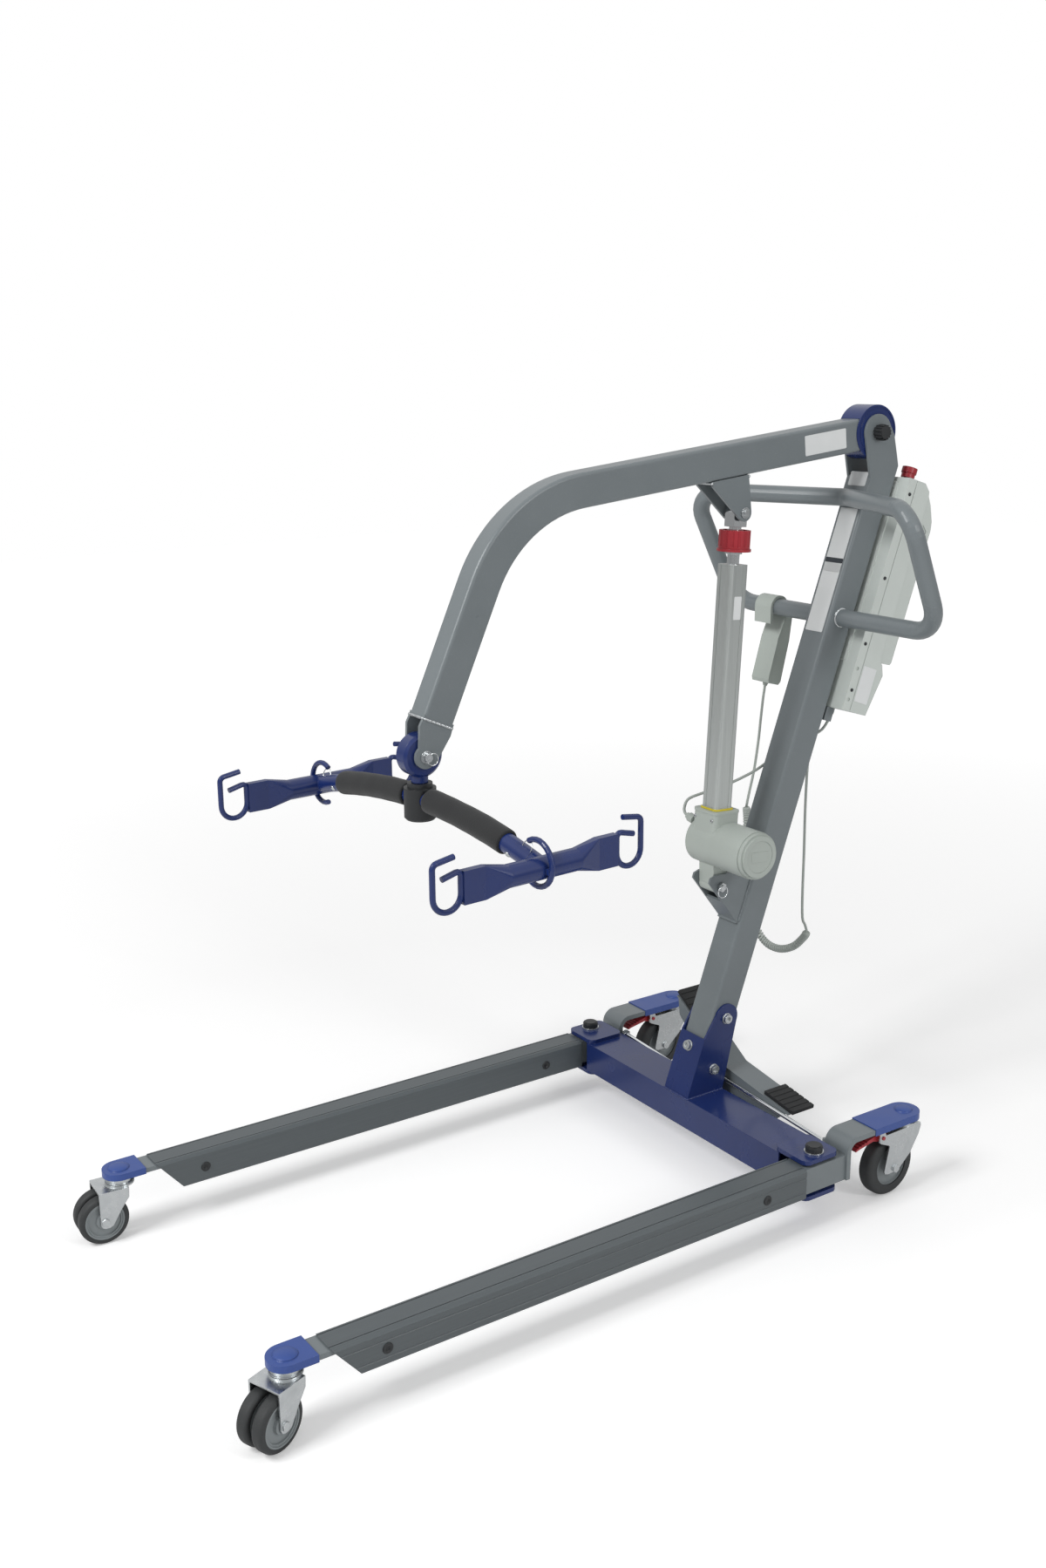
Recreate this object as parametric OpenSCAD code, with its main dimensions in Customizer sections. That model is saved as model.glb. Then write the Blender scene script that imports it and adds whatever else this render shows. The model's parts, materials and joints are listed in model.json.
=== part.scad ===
// Electric patient lift: wheeled base with two spreading legs, leaning mast,
// powered boom with a six point cradle, linear actuator, battery box and handset.
// Millimetres, +Z up, legs point toward -Y and the operator stands on the +Y side.

/* [Base] */
// Distance from the centreline to each leg, leg pivot and caster swivel
leg_x = 286.2; // [255:0.1:320]
// Distance from the leg pivots forward to the front caster swivels
front_swivel_y = 884; // [760:1:960]
// Distance from the leg pivots back to the rear caster swivels
rear_swivel_y = 192.4; // [180:0.2:230]
// Width of the ribbed plastic cover on each leg
cover_w = 49.4; // [48:0.1:54]
// Width of the square steel tube inside each leg
leg_tube_w = 42; // [38:0.5:42]
// Depth of the blue crossbar tube front to back
crossbar_d = 76; // [70:1:80]
// Diameter of the leg pivot bolts
leg_bolt_d = 16; // [12:0.5:18]

/* [Casters] */
// Diameter of the front twin wheels
front_wheel_d = 76; // [70:1:78]
// Diameter of the rear wheels
rear_wheel_d = 100; // [90:1:100]
// Turn of the right front caster about its swivel as it stands
front_yaw_right = 20.6; // [-180:0.1:180]
// Turn of the left front caster about its swivel as it stands
front_yaw_left = -4; // [-180:0.1:180]
// Turn of the rear casters about their swivels as they stand
rear_yaw = 1.3; // [-180:0.1:180]

/* [Mast] */
// Lean of the mast from upright
mast_tilt = 19.81; // [15:0.01:22]
// Width and depth of the square mast tube
mast_w = 52; // [48:0.5:55]
// Height of the boom pivot above the floor
boom_pivot_z = 1166.3; // [1150:0.1:1180]
// Distance of the boom pivot behind the leg pivots
boom_pivot_y = 337.6; // [330:0.1:345]
// Diameter of the push handle tube
handle_d = 28.2; // [25:0.1:32]
// Half width of the push handle at its upper corners
handle_half_w = 243.5; // [225:0.5:250]

/* [Boom] */
// Width of the rectangular boom tube
boom_w = 40; // [38:0.5:40]
// Height of the rectangular boom tube
boom_h = 50.8; // [48:0.1:52]
// Slope of the boom down toward the front in its lowest position
boom_slope = 6.25; // [4:0.05:8]
// Angle of the bend near the boom's front end
boom_bend = 59.55; // [55:0.05:62]
// Centreline radius of the boom's bend
bend_r = 208.6; // [190:0.2:230]
// Diameter of the round hub at the boom pivot
hub_d = 86; // [76:0.5:88]

/* [Cradle] */
// Radius of the disc that hangs in the boom's end
hanger_r = 31; // [27:0.5:32]
// Diameter of the cradle's cross tube
bar_d = 27; // [25:0.1:28]
// Diameter of the foam grips on the cross tube
foam_d = 35; // [32:0.5:40]
// Distance from the cradle's centre to each end arm
arm_x = 272; // [262:1:285]
// Turn of the cradle about its swivel as it hangs
cradle_yaw = 4; // [-90:0.1:90]
// Diameter of the rod that the sling hooks are bent from
hook_d = 8; // [7:0.1:9]

/* [Actuator] */
// Width of the actuator's square profile tube
profile_w = 35; // [32:0.5:38]
// Diameter of the motor cover
motor_d = 77; // [70:0.5:80]
// Diameter of the chrome piston rod
rod_d = 19; // [16:0.5:20]
// Diameter of the emergency lowering knob
knob_d = 49; // [44:0.5:52]

/* [Control box] */
// Width of the control box
box_w = 104; // [96:1:110]
// Height of the control box along the mast
box_h = 388; // [370:1:395]

/* [Hidden] */
$fn = 72;
c = 0.05;
origin_x = -6.011;
origin_y = 252.531;

mast_y0 = -42.45;
mast_d = 52.8;
mast_h2 = mast_d / 2;
mast_s = sin(mast_tilt);
mast_c = cos(mast_tilt);

tube_z0 = 63.5;
tube_z1 = 104.7;
cover_z0 = 57.4;
cover_z1 = 107.3;
bar_top_z = 130;
bar_t = 8;
crossbar_half = leg_x - 38.2;
crossbar_y0 = -36;
crossbar_z0 = 57;
crossbar_z1 = 109;
plate_t = 7;
plate_x0 = leg_x - 50;
plate_x1 = leg_x + 19.8;

boom_pivot = [0, boom_pivot_y, boom_pivot_z];
pivot_r = 8;
plate_in = 22;

t_bend = bend_r * tan(boom_bend / 2);
boom_run = 698.1;
low_len = 199;
l1 = round((boom_run - t_bend) * 10) / 10;
eye_y = -283.8;
eye_z = -81.9;
pin_y = -low_len - 50.8;

function on_slope(y, z) = [0, boom_pivot_y + y * cos(boom_slope) - z * sin(boom_slope),
  boom_pivot_z + y * sin(boom_slope) + z * cos(boom_slope)];

function past_bend(y, z) = on_slope(y * cos(boom_bend) - (z + bend_r) * sin(boom_bend) - l1,
  y * sin(boom_bend) + (z + bend_r) * cos(boom_bend) - bend_r);

act_a = [0, 32.2, 461];
act_b = on_slope(eye_y, eye_z);
act_lean = atan((act_b[1] - act_a[1]) / (act_b[2] - act_a[2]));
act_len = norm(act_b - act_a);

hang = past_bend(pin_y, 0);
bar_z = round((hang[2] - 61.9) * 10) / 10;
bar_arc_r = 1045;

rocker_z = 102;
lever_r = 16.4;
g = 0.1;
rock_rest = 21.3;
dihedral = 12.3;

front_r = front_wheel_d / 2;
rear_r = rear_wheel_d / 2;
front_trail = 31.6;
rear_trail = 35.6;
axle_r = 5;

steel_grey = [0.40, 0.42, 0.43];
navy = [0.13, 0.17, 0.33];
cap_blue = [0.20, 0.27, 0.52];
cover_grey = [0.30, 0.33, 0.34];
chrome = [0.78, 0.79, 0.80];
pale = [0.72, 0.76, 0.73];
black = [0.08, 0.08, 0.09];
red = [0.72, 0.16, 0.18];
alu = [0.75, 0.77, 0.76];

// Shared shapes

module place() {
  translate([origin_x, origin_y, 0]) children();
}

module on_mast() {
  translate([0, mast_y0, 0]) rotate([-mast_tilt, 0, 0]) children();
}

module on_boom() {
  translate(boom_pivot) rotate([boom_slope, 0, 0]) children();
}

module on_actuator() {
  translate(act_a) rotate([-act_lean, 0, 0]) children();
}

module on_cradle() {
  translate([0, hang[1], 0]) rotate([0, 0, cradle_yaw]) children();
}

module side(points, x0, t) {
  translate([x0, 0, 0]) rotate([90, 0, 90]) linear_extrude(t) polygon(points);
}

module xcyl(r, x0, x1, y, z) {
  translate([x0, y, z]) rotate([0, 90, 0]) cylinder(h = x1 - x0, r = r);
}

module box(x0, x1, y0, y1, z0, z1) {
  translate([x0, y0, z0]) cube([x1 - x0, y1 - y0, z1 - z0]);
}

module hex_x(r, x0, x1, y, z) {
  translate([x0, y, z]) rotate([0, 90, 0]) linear_extrude(x1 - x0)
    polygon([for (i = [0:5]) [r * cos(60 * i), r * sin(60 * i)]]);
}

module rod_between(a, b, r) {
  v = b - a;
  l = norm(v);
  translate(a) rotate([0, acos(v[2] / l), atan2(v[1], v[0])]) cylinder(h = l, r = r);
}

module round_box(w, d, r, h) {
  linear_extrude(h) union() {
    square([w - 2 * r, d], center = true);
    square([w, d - 2 * r], center = true);
    for (sx = [-1, 1]) for (sy = [-1, 1])
      translate([sx * (w / 2 - r), sy * (d / 2 - r)]) circle(r);
  }
}

// A tube swept through points: each ring lies across the path's direction.

function unit(v) = v / norm(v);

function curve(p, t) =
  let (n = len(p) - 1)
  let (i = min(floor(t), n - 1))
  let (f = t - i)
  let (a = p[max(i - 1, 0)])
  let (b = p[i])
  let (d = p[i + 1])
  let (e = p[min(i + 2, n)])
  0.5 * (2 * b + (d - a) * f + (2 * a - 5 * b + 4 * d - e) * f * f
    + (3 * b - a - 3 * d + e) * f * f * f);

function frame_at(p, t) =
  let (n = len(p) - 1)
  let (a = curve(p, max(t - 0.02, 0)))
  let (b = curve(p, min(t + 0.02, n)))
  let (d = unit(b - a))
  let (s = unit(cross(d, [0.31, 0.95, 0.05])))
  [s, cross(d, s)];

function ring_at(centre, s, w, r, sides) =
  [for (k = [0:sides - 1]) centre + r * (cos(360 * k / sides) * s + sin(360 * k / sides) * w)];

module skin(rings, sides) {
  n = len(rings);
  polyhedron(
    points = [for (q = rings) for (v = q) v],
    faces = concat(
      [[for (k = [0:sides - 1]) k]],
      [for (i = [0:n - 2]) for (k = [0:sides - 1]) each [
        [i * sides + k, (i + 1) * sides + k, (i + 1) * sides + (k + 1) % sides],
        [i * sides + k, (i + 1) * sides + (k + 1) % sides, i * sides + (k + 1) % sides]
      ]],
      [[for (k = [0:sides - 1]) (n - 1) * sides + sides - 1 - k]]
    )
  );
}

module cable(p, r, sides, per) {
  n = (len(p) - 1) * per;
  skin([for (i = [0:n])
    let (t = i / per)
    let (f = frame_at(p, t))
    ring_at(curve(p, t), f[0], f[1], r, sides)], sides);
}

// Base

module crossbar() {
  color(navy) place() {
    difference() {
      box(-crossbar_half, crossbar_half, crossbar_y0, crossbar_y0 + crossbar_d, crossbar_z0, crossbar_z1);
      box(-crossbar_half - 1, crossbar_half + 1, crossbar_y0 + 3, crossbar_y0 + crossbar_d - 3,
        crossbar_z0 + 3, crossbar_z1 - 3);
    }
    for (s = [-1, 1]) pivot_plate(s, crossbar_z1);
    for (s = [-1, 1]) pivot_plate(s, crossbar_z0 - plate_t);
    translate([0, crossbar_y0 + crossbar_d - 1, rocker_z]) rotate([-90, 0, 0]) cylinder(h = 69, r = 7);
    translate([0, crossbar_y0 + crossbar_d - 1, rocker_z]) rotate([-90, 0, 0]) cylinder(h = 4, r = 11);
  }
}

module pivot_plate(s, z) {
  difference() {
    translate([s * (plate_x0 + plate_x1) / 2, 0, z]) round_box(plate_x1 - plate_x0, 70, 12, plate_t);
    translate([s * leg_x, 0, z - 1]) cylinder(h = plate_t + 2, r = leg_bolt_d / 2 + c);
  }
}

module pivot_bolts() {
  color(chrome) place() {
    for (s = [-1, 1]) translate([s * leg_x, 0, 0]) {
      translate([0, 0, 42]) cylinder(h = 83, r = leg_bolt_d / 2);
      translate([0, 0, crossbar_z1 + plate_t + g]) cylinder(h = 2.4, r = 15);
      translate([0, 0, crossbar_z0 - plate_t - 6 - g]) linear_extrude(6)
        polygon([for (i = [0:5]) [12 * cos(60 * i), 12 * sin(60 * i)]]);
    }
    xcyl(pivot_r, -36, 36, boom_pivot_y, boom_pivot_z);
    for (s = [-1, 1]) hex_x(9.6, s > 0 ? 26.2 : -33, s > 0 ? 33 : -26.2, boom_pivot_y, boom_pivot_z);
    xcyl(5, -29, 29, act_a[1], act_a[2]);
    hex_x(8, 22.2, 27.5, act_a[1], act_a[2]);
    hex_x(8, -27.5, -22.2, act_a[1], act_a[2]);
  }
}

module bolt_caps() {
  color(black) place() for (s = [-1, 1]) translate([s * leg_x, 0, 118.6]) rotate_extrude() {
    difference() {
      union() {
        square([12.5, 8.5]);
        square([13.3, 7]);
        translate([0, 8.4]) square([10.8, 1.2]);
      }
      translate([-1, -1]) square([leg_bolt_d / 2 + 1 + c, 7.6]);
    }
  }
}

// Pedal and link rods that spread the legs

function arm_point(s, x, z) =
  [s * (x * cos(dihedral) - z * sin(dihedral)), x * sin(dihedral) + z * cos(dihedral)];

module rocker_pedal() {
  color(steel_grey) place() translate([0, 0, rocker_z]) rotate([0, rock_rest, 0]) difference() {
    union() {
      translate([0, 106, 0]) rotate([90, 0, 0]) linear_extrude(46) polygon([
        arm_point(1, 162, 33), arm_point(1, 162, 36), [0, 36 / cos(dihedral)], arm_point(-1, 162, 36),
        arm_point(-1, 162, 33), [0, 33 / cos(dihedral)]
      ]);
      translate([0, 63, 0]) rotate([90, 0, 0]) linear_extrude(3) polygon([
        arm_point(1, 158, 34.5), [0, 34.5 / cos(dihedral)], arm_point(-1, 158, 34.5), arm_point(-1, 138, 12),
        arm_point(-1, 40, -3), [-8, -24], [8, -24], arm_point(1, 40, -3), arm_point(1, 138, 12)
      ]);
      translate([0, 60, 0]) rotate([-90, 0, 0]) cylinder(h = 44, r = 12);
      for (s = [-1, 1]) translate([0, 41.6, s * lever_r]) rotate([-90, 0, 0]) cylinder(h = 19, r = 3);
    }
    translate([0, 50, 0]) rotate([-90, 0, 0]) cylinder(h = 60, r = 7 + c);
  }
}

module pedal_pads() {
  color(black) place() translate([0, 0, rocker_z]) rotate([0, rock_rest, 0])
    for (s = [-1, 1]) rotate([0, -s * dihedral, 0]) difference() {
      translate([s > 0 ? 100 : -168, 64, 36 + g]) cube([68, 46, 6]);
      for (k = [0:4]) translate([s * (110 + 12 * k) - 1.5, 60, 41]) cube([3, 54, 2]);
    }
}

module link_rod(s) {
  color(chrome) place() {
    end = [s * (leg_x - 32.8), 56, 101.4];
    pin = [s * lever_r * sin(rock_rest), 56, rocker_z + s * lever_r * cos(rock_rest) + s * 0.5];
    difference() {
      union() {
        translate([end[0], end[1], 98]) cylinder(h = 7, r = 6.8);
        translate([pin[0], 52.2, pin[2]]) rotate([-90, 0, 0]) cylinder(h = 7.4, r = 7.6);
        rod_between(end, pin, 3.4);
      }
      translate([end[0], end[1], 90]) cylinder(h = 20, r = 4 + c);
      translate([pin[0], 50, pin[2]]) rotate([-90, 0, 0]) cylinder(h = 12, r = 4.2);
    }
  }
}

module link_rod_right() { link_rod(1); }
module link_rod_left() { link_rod(-1); }

// Legs, drawn for the right side about the centreline of the leg

module leg_tube(s) {
  color(steel_grey) place() translate([s * leg_x, 0, 0]) scale([s, 1, 1]) difference() {
    union() {
      difference() {
        box(-leg_tube_w / 2, leg_tube_w / 2, -front_swivel_y + 94, 48, tube_z0, tube_z1);
        box(-leg_tube_w / 2 + 2.5, leg_tube_w / 2 - 2.5, -front_swivel_y + 84, 46, tube_z0 + 2.5,
          tube_z1 - 2.5);
      }
      translate([0, 0, cover_z0 - 0.1]) cylinder(h = 108.7 - cover_z0 + 0.1, r = 13);
      rear_bar();
      front_bar();
      box(-40.6, -18, 52, 62, 92.8, 97);
      translate([-32.8, 56, 95]) cylinder(h = 12.6, r = 4);
    }
    translate([0, 0, 40]) cylinder(h = 90, r = leg_bolt_d / 2 + c);
    translate([0, rear_swivel_y, 100]) cylinder(h = 40, r = 6 + c);
    translate([0, -front_swivel_y, 80]) cylinder(h = 40, r = 6 + c);
  }
}

module rear_bar() {
  w = 49;
  box(-w / 2, w / 2, 47, 47 + bar_t, tube_z0, 108);
  translate([-w / 2, 69, 108]) rotate([0, 90, 0]) rotate([0, 0, 180])
    rotate_extrude(angle = 90) translate([0, 0]) bar_section(w);
  box(-w / 2, w / 2, 69, rear_swivel_y, bar_top_z - bar_t, bar_top_z);
  translate([0, rear_swivel_y, bar_top_z - bar_t]) cylinder(h = bar_t, r = 22);
}

module bar_section(w) {
  translate([22 - bar_t, 0]) square([bar_t, w]);
}

module front_bar() {
  box(-20, 20, -front_swivel_y, -front_swivel_y + 114, 97.6, 105.2);
  translate([0, -front_swivel_y, 97.6]) cylinder(h = 7.6, r = 20);
}

module leg_tube_right() { leg_tube(1); }
module leg_tube_left() { leg_tube(-1); }

screw_y = -front_swivel_y + 129;

module leg_cover(s) {
  cw = cover_w / 2;
  color(cover_grey) place() translate([s * leg_x, 0, 0]) scale([s, 1, 1]) difference() {
    translate([0, -36.7, 0]) rotate([90, 0, 0]) linear_extrude(front_swivel_y - 50 - 36.7) difference() {
      polygon([
        [-cw + 3, cover_z0], [cw - 3, cover_z0], [cw, cover_z0 + 3], [cw, 68], [cw - 0.8, 69], [cw - 0.8, 70],
        [cw, 71], [cw, 92], [cw - 0.8, 93], [cw - 0.8, 94], [cw, 95], [cw, 103.2], [cw - 4.6, 106.9],
        [cw - 5.4, cover_z1], [cw - 8, cover_z1], [cw - 8, 106.3], [cw - 9.6, 106.3],
        [cw - 9.6, cover_z1], [-cw + 9.6, cover_z1], [-cw + 9.6, 106.3], [-cw + 8, 106.3],
        [-cw + 8, cover_z1], [-cw + 5.4, cover_z1], [-cw + 4.6, 106.9], [-cw, 103.2],
        [-cw, cover_z0 + 3]
      ]);
      translate([-leg_tube_w / 2 - 0.2, 60]) square([leg_tube_w + 0.4, 45]);
    }
    side([[-front_swivel_y - 16, 167.3], [-front_swivel_y - 16, 20], [-front_swivel_y + 93, 20],
      [-front_swivel_y + 93, 57.4], [-front_swivel_y + 51, 107.4], [-front_swivel_y + 51, 167.3]], -40, 80);
    box(-20.3, 20.3, -front_swivel_y + 24, -front_swivel_y + 124, 97.3, 105.5);
    for (y = [screw_y, -115]) xcyl(4.6, cw - 2, cw + 1, y, 81.8);
  }
}

module leg_cover_right() { leg_cover(1); }
module leg_cover_left() { leg_cover(-1); }

module leg_screws(s) {
  cw = cover_w / 2;
  color(black) place() translate([s * leg_x, 0, 0]) scale([s, 1, 1])
    for (y = [screw_y, -115]) difference() {
      xcyl(4.5, cw - 1.9, cw + 0.8, y, 81.8);
      hex_x(2.4, cw - 0.8, cw + 2, y, 81.8);
    }
}

module leg_screws_right() { leg_screws(1); }
module leg_screws_left() { leg_screws(-1); }

module leg_caps(s) {
  color(cap_blue) place() translate([s * leg_x, 0, 0]) {
    difference() {
      union() {
        box(-25, 25, -front_swivel_y, -front_swivel_y + 34, 98.8, 109);
        translate([0, -front_swivel_y, 98.8]) cylinder(h = 10.2, r = 25);
        translate([0, -front_swivel_y, 108]) cylinder(h = 2.4, r = 15.5);
      }
      box(-20.3, 20.3, -front_swivel_y, -front_swivel_y + 40, 90, 105.3);
      translate([0, -front_swivel_y, 90]) cylinder(h = 15.3, r = 20.3);
      translate([0, -front_swivel_y, 100]) cylinder(h = 8.2, r = 10);
    }
    difference() {
      union() {
        box(-25.6, 25.6, 106, rear_swivel_y, 120.4, 132);
        translate([0, rear_swivel_y, 120.4]) cylinder(h = 11.6, r = 25.6);
        translate([0, rear_swivel_y, 131]) cylinder(h = 2.6, r = 13);
      }
      box(-24.7, 24.7, 100, rear_swivel_y, 110, 130.1);
      translate([0, rear_swivel_y, 110]) cylinder(h = 20.1, r = 24.7);
      translate([0, rear_swivel_y, 125]) cylinder(h = 6.9, r = 9.8);
    }
  }
}

module leg_caps_right() { leg_caps(1); }
module leg_caps_left() { leg_caps(-1); }

// Front casters: the axle stands ahead of the swivel along -Y before the yaw

module at_front(s) {
  yaw = s > 0 ? front_yaw_right : front_yaw_left;
  place() translate([s * leg_x, -front_swivel_y, 0]) rotate([0, 0, yaw]) children();
}

module front_fork(s) {
  color(chrome) at_front(s) difference() {
    union() {
      box(-26, 26, -39, 7, 83.2, 86);
      for (k = [-1, 1]) side([[7, 86], [-39, 86], [-38.8, 34], [-36.4, 29.6], [-32, 27.6], [-26, 27.6],
        [-20.5, 30], [-7.4, 51.8], [6.2, 70.8], [7, 83]], k > 0 ? 23.4 : -26, 2.6);
      translate([0, 0, 85.5]) cylinder(h = 5, r = 22);
      translate([0, 0, 90]) cylinder(h = 6.8, r = 19.5);
      translate([0, 0, 96]) cylinder(h = 10, r = 6);
      translate([0, 0, 105.4]) cylinder(h = 2.6, r = 9.5);
      xcyl(axle_r, -29, 29, -front_trail, front_r);
      hex_x(6.4, 25.5, 29, -front_trail, front_r);
      hex_x(6.4, -29, -25.5, -front_trail, front_r);
    }
    translate([0, 0, 88.6]) difference() {
      cylinder(h = 1.2, r = 25);
      cylinder(h = 1.2, r = 19.5);
    }
  }
}

module front_fork_right() { front_fork(1); }
module front_fork_left() { front_fork(-1); }

module front_wheels(s) {
  color(cover_grey) at_front(s) translate([0, -front_trail, front_r]) rotate([0, 90, 0])
    for (k = [-1, 1]) scale([1, 1, k]) rotate_extrude() polygon([
      [axle_r + c, 1.2], [12, 1.2], [12, 5], [27, 5], [30, 3.6], [30, 21.8], [27.6, 21.8], [27, 20.2],
      [24.6, 20.2], [24.2, 18], [13, 18], [12, 22.6], [axle_r + c, 22.6]
    ]);
}

module front_wheels_right() { front_wheels(1); }
module front_wheels_left() { front_wheels(-1); }

module front_tyres(s) {
  color(black) at_front(s) translate([0, -front_trail, front_r]) rotate([0, 90, 0])
    for (k = [-1, 1]) scale([1, 1, k]) rotate_extrude() difference() {
      union() {
        translate([0, 3.2]) square([front_r - 6, 19]);
        translate([0, 9]) square([front_r, 7.4]);
        translate([front_r - 6, 9.2]) circle(6);
        translate([front_r - 6, 16.2]) circle(6);
      }
      translate([-1, 0]) square([31 + g, 30]);
    }
}

module front_tyres_right() { front_tyres(1); }
module front_tyres_left() { front_tyres(-1); }

// Rear casters

module at_rear(s) {
  place() translate([s * leg_x, rear_swivel_y, 0]) rotate([0, 0, rear_yaw]) children();
}

module rear_fork(s) {
  color(chrome) at_rear(s) difference() {
    union() {
      box(-21, 21, -52, 18, 109.8, 113);
      for (k = [-1, 1]) side([[18.5, 113], [-60, 113], [-62, 118.8], [-74, 119], [-73.2, 103.5], [-70, 101],
        [-53, 93.5], [-50.6, 91], [-60, 49.5], [-58, 45.4], [-52, 43.6], [-32, 43.9], [-27, 46], [-2.8, 66.3],
        [14.8, 94.4], [19.4, 107]], k > 0 ? 18.2 : -21, 2.8);
      translate([0, 0, 112.5]) cylinder(h = 4, r = 22.5);
      translate([0, 0, 116]) cylinder(h = 5.4, r = 20);
      translate([0, 0, 120]) cylinder(h = 11, r = 6);
      translate([0, 0, 130.2]) cylinder(h = 1.5, r = 9.3);
      xcyl(axle_r, -24, 24, -rear_trail, rear_r);
      hex_x(7, 20.5, 24.5, -rear_trail, rear_r);
      hex_x(7, -24.5, -20.5, -rear_trail, rear_r);
    }
    for (k = [-1, 1]) xcyl(3 + c, k > 0 ? 17 : -23, k > 0 ? 23 : -17, -66, 110);
  }
}

module rear_fork_right() { rear_fork(1); }
module rear_fork_left() { rear_fork(-1); }

module rear_wheel(s) {
  color(cover_grey) at_rear(s) translate([0, -rear_trail, rear_r]) rotate([0, 90, 0])
    rotate_extrude() polygon([
      [axle_r + c, -17.6], [14, -17.6], [15, -8], [31, -7], [32, -10.5], [36, -11], [38, -8], [38, 8],
      [36, 11], [32, 10.5], [31, 7], [15, 8], [14, 17.6], [axle_r + c, 17.6]
    ]);
}

module rear_wheel_right() { rear_wheel(1); }
module rear_wheel_left() { rear_wheel(-1); }

module rear_tyre(s) {
  color(black) at_rear(s) translate([0, -rear_trail, rear_r]) rotate([0, 90, 0])
    rotate_extrude() difference() {
      union() {
        translate([0, -12.9]) square([rear_r - 8, 25.8]);
        translate([0, -5]) square([rear_r, 10]);
        translate([rear_r - 8, 4.9]) circle(8);
        translate([rear_r - 8, -4.9]) circle(8);
      }
      polygon([[-1, -20], [32.2, -20], [32.2, -10.6], [36.1, -11.1], [38.1, -8.1], [38.1, 8.1], [36.1, 11.1],
        [32.2, 10.6], [32.2, 20], [-1, 20]]);
    }
}

module rear_tyre_right() { rear_tyre(1); }
module rear_tyre_left() { rear_tyre(-1); }

module rear_brake(s) {
  color(red) at_rear(s) {
    difference() {
      union() {
        side([[-56, 114], [-72, 114.5], [-112, 105], [-118.4, 101], [-118, 98.4], [-112, 100.4], [-80, 105.6],
          [-72, 103], [-62, 101.5], [-55.5, 104.5]], -13, 26);
        xcyl(6, -17.9, 17.9, -66, 110);
        xcyl(3, -22.5, 22.5, -66, 110);
      }
      for (k = [0:3]) box(-14, 14, -114 + 6 * k, -112 + 6 * k, 103.2 + 1.4 * k, 108 + 1.4 * k);
    }
  }
}

module rear_brake_right() { rear_brake(1); }
module rear_brake_left() { rear_brake(-1); }

// Mast

module mast() {
  hw = mast_w / 2;
  color(steel_grey) place() difference() {
    on_mast() {
      difference() {
        translate([0, 0, 620]) translate([0, 0, -560]) round_box(mast_w, mast_d, 5, 1098);
        translate([0, 0, 50]) round_box(mast_w - 5, mast_d - 5, 3, 1105.5);
      }
      for (s = [-1, 1]) side([[-26.4, 1120], [-26.4, 1154.5], [-62.5, 1212.5], [-37.7, 1226.1], [-24, 1251.5],
        [-2, 1234], [19.2, 1202.4], [26.4, 1191], [26.4, 1120]], s > 0 ? plate_in : -hw, hw - plate_in);
      pivot = [-37.7, 1226.1];
      for (s = [-1, 1]) xcyl(28.5, s > 0 ? plate_in : -hw, s > 0 ? hw : -plate_in, pivot[0], pivot[1]);
      side([[mast_h2 - 0.5, 690], [mast_h2 + 6, 716], [mast_h2 + 6, 800], [mast_h2 - 0.5, 800]], -14, 28);
      side([[mast_h2 + 5, 764], [mast_h2 + 22, 764], [mast_h2 + 22, 786.7], [mast_h2 + 5, 786.7]], -22, 44);
      for (w = [880, 1000, 1130]) box(-12, 12, mast_h2 - 0.5, mast_h2 + 6.2, w, w + 24);
    }
    box(-60, 60, -100, 100, 0, crossbar_z1 + g);
    xcyl(pivot_r + c, -40, 40, boom_pivot_y, boom_pivot_z);
    on_mast() for (q = [[2.7, 249.1], [6.8, 161.9]]) xcyl(5 + c, -40, 40, q[0], q[1]);
    on_mast() translate([-2, -mast_h2 - 10, 188]) rotate([-90, 0, 0]) cylinder(h = 20, r = 5 + c);
  }
}

module mast_socket() {
  hw = mast_w / 2;
  color(navy) place() difference() {
    on_mast() union() {
      box(-hw - 3.5, hw + 3.5, -mast_h2 - 4.5, -mast_h2 - g, 60, 208.4);
      for (s = [-1, 1]) side([[-mast_h2 - 4.5, 60], [-mast_h2 - 4.5, 208.4], [-20.4, 250], [3, 250],
        [26.4, 250], [40.3, 130.3], [49, 60]], s > 0 ? hw + g : -hw - 3.5, 3.5 - g);
      for (s = [-1, 1]) xcyl(23.4, s > 0 ? hw + g : -hw - 3.5, s > 0 ? hw + 3.5 : -hw - g, 3, 250);
    }
    box(-60, 60, -100, 120, 0, crossbar_z1 + g);
    on_mast() for (q = [[2.7, 249.1], [6.8, 161.9]]) xcyl(5 + c, -40, 40, q[0], q[1]);
    on_mast() translate([-2, -mast_h2 - 10, 188]) rotate([-90, 0, 0]) cylinder(h = 20, r = 5 + c);
  }
}

module mast_bolts() {
  hw = mast_w / 2 + 3.5;
  color(chrome) place() on_mast() {
    for (q = [[2.7, 249.1], [6.8, 161.9]]) {
      xcyl(5, -hw - 9, hw + 1, q[0], q[1]);
      xcyl(9, hw + g, hw + 1.5, q[0], q[1]);
      difference() {
        xcyl(7.6, hw + 1.4, hw + 6.6, q[0], q[1]);
        hex_x(4, hw + 3.6, hw + 8, q[0], q[1]);
      }
      hex_x(8.6, -hw - 6.6, -hw - g, q[0], q[1]);
    }
    translate([-2, 0, 188]) rotate([90, 0, 0]) {
      translate([0, 0, mast_h2 - 8]) cylinder(h = 13.6, r = 5);
      translate([0, 0, mast_h2 + 4.5 + g]) difference() {
        union() {
          cylinder(h = 1.4, r = 9);
          cylinder(h = 6.2, r = 7.6);
        }
        translate([0, 0, 3.4]) linear_extrude(4)
          polygon([for (i = [0:5]) [4 * cos(60 * i), 4 * sin(60 * i)]]);
      }
    }
  }
}

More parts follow.
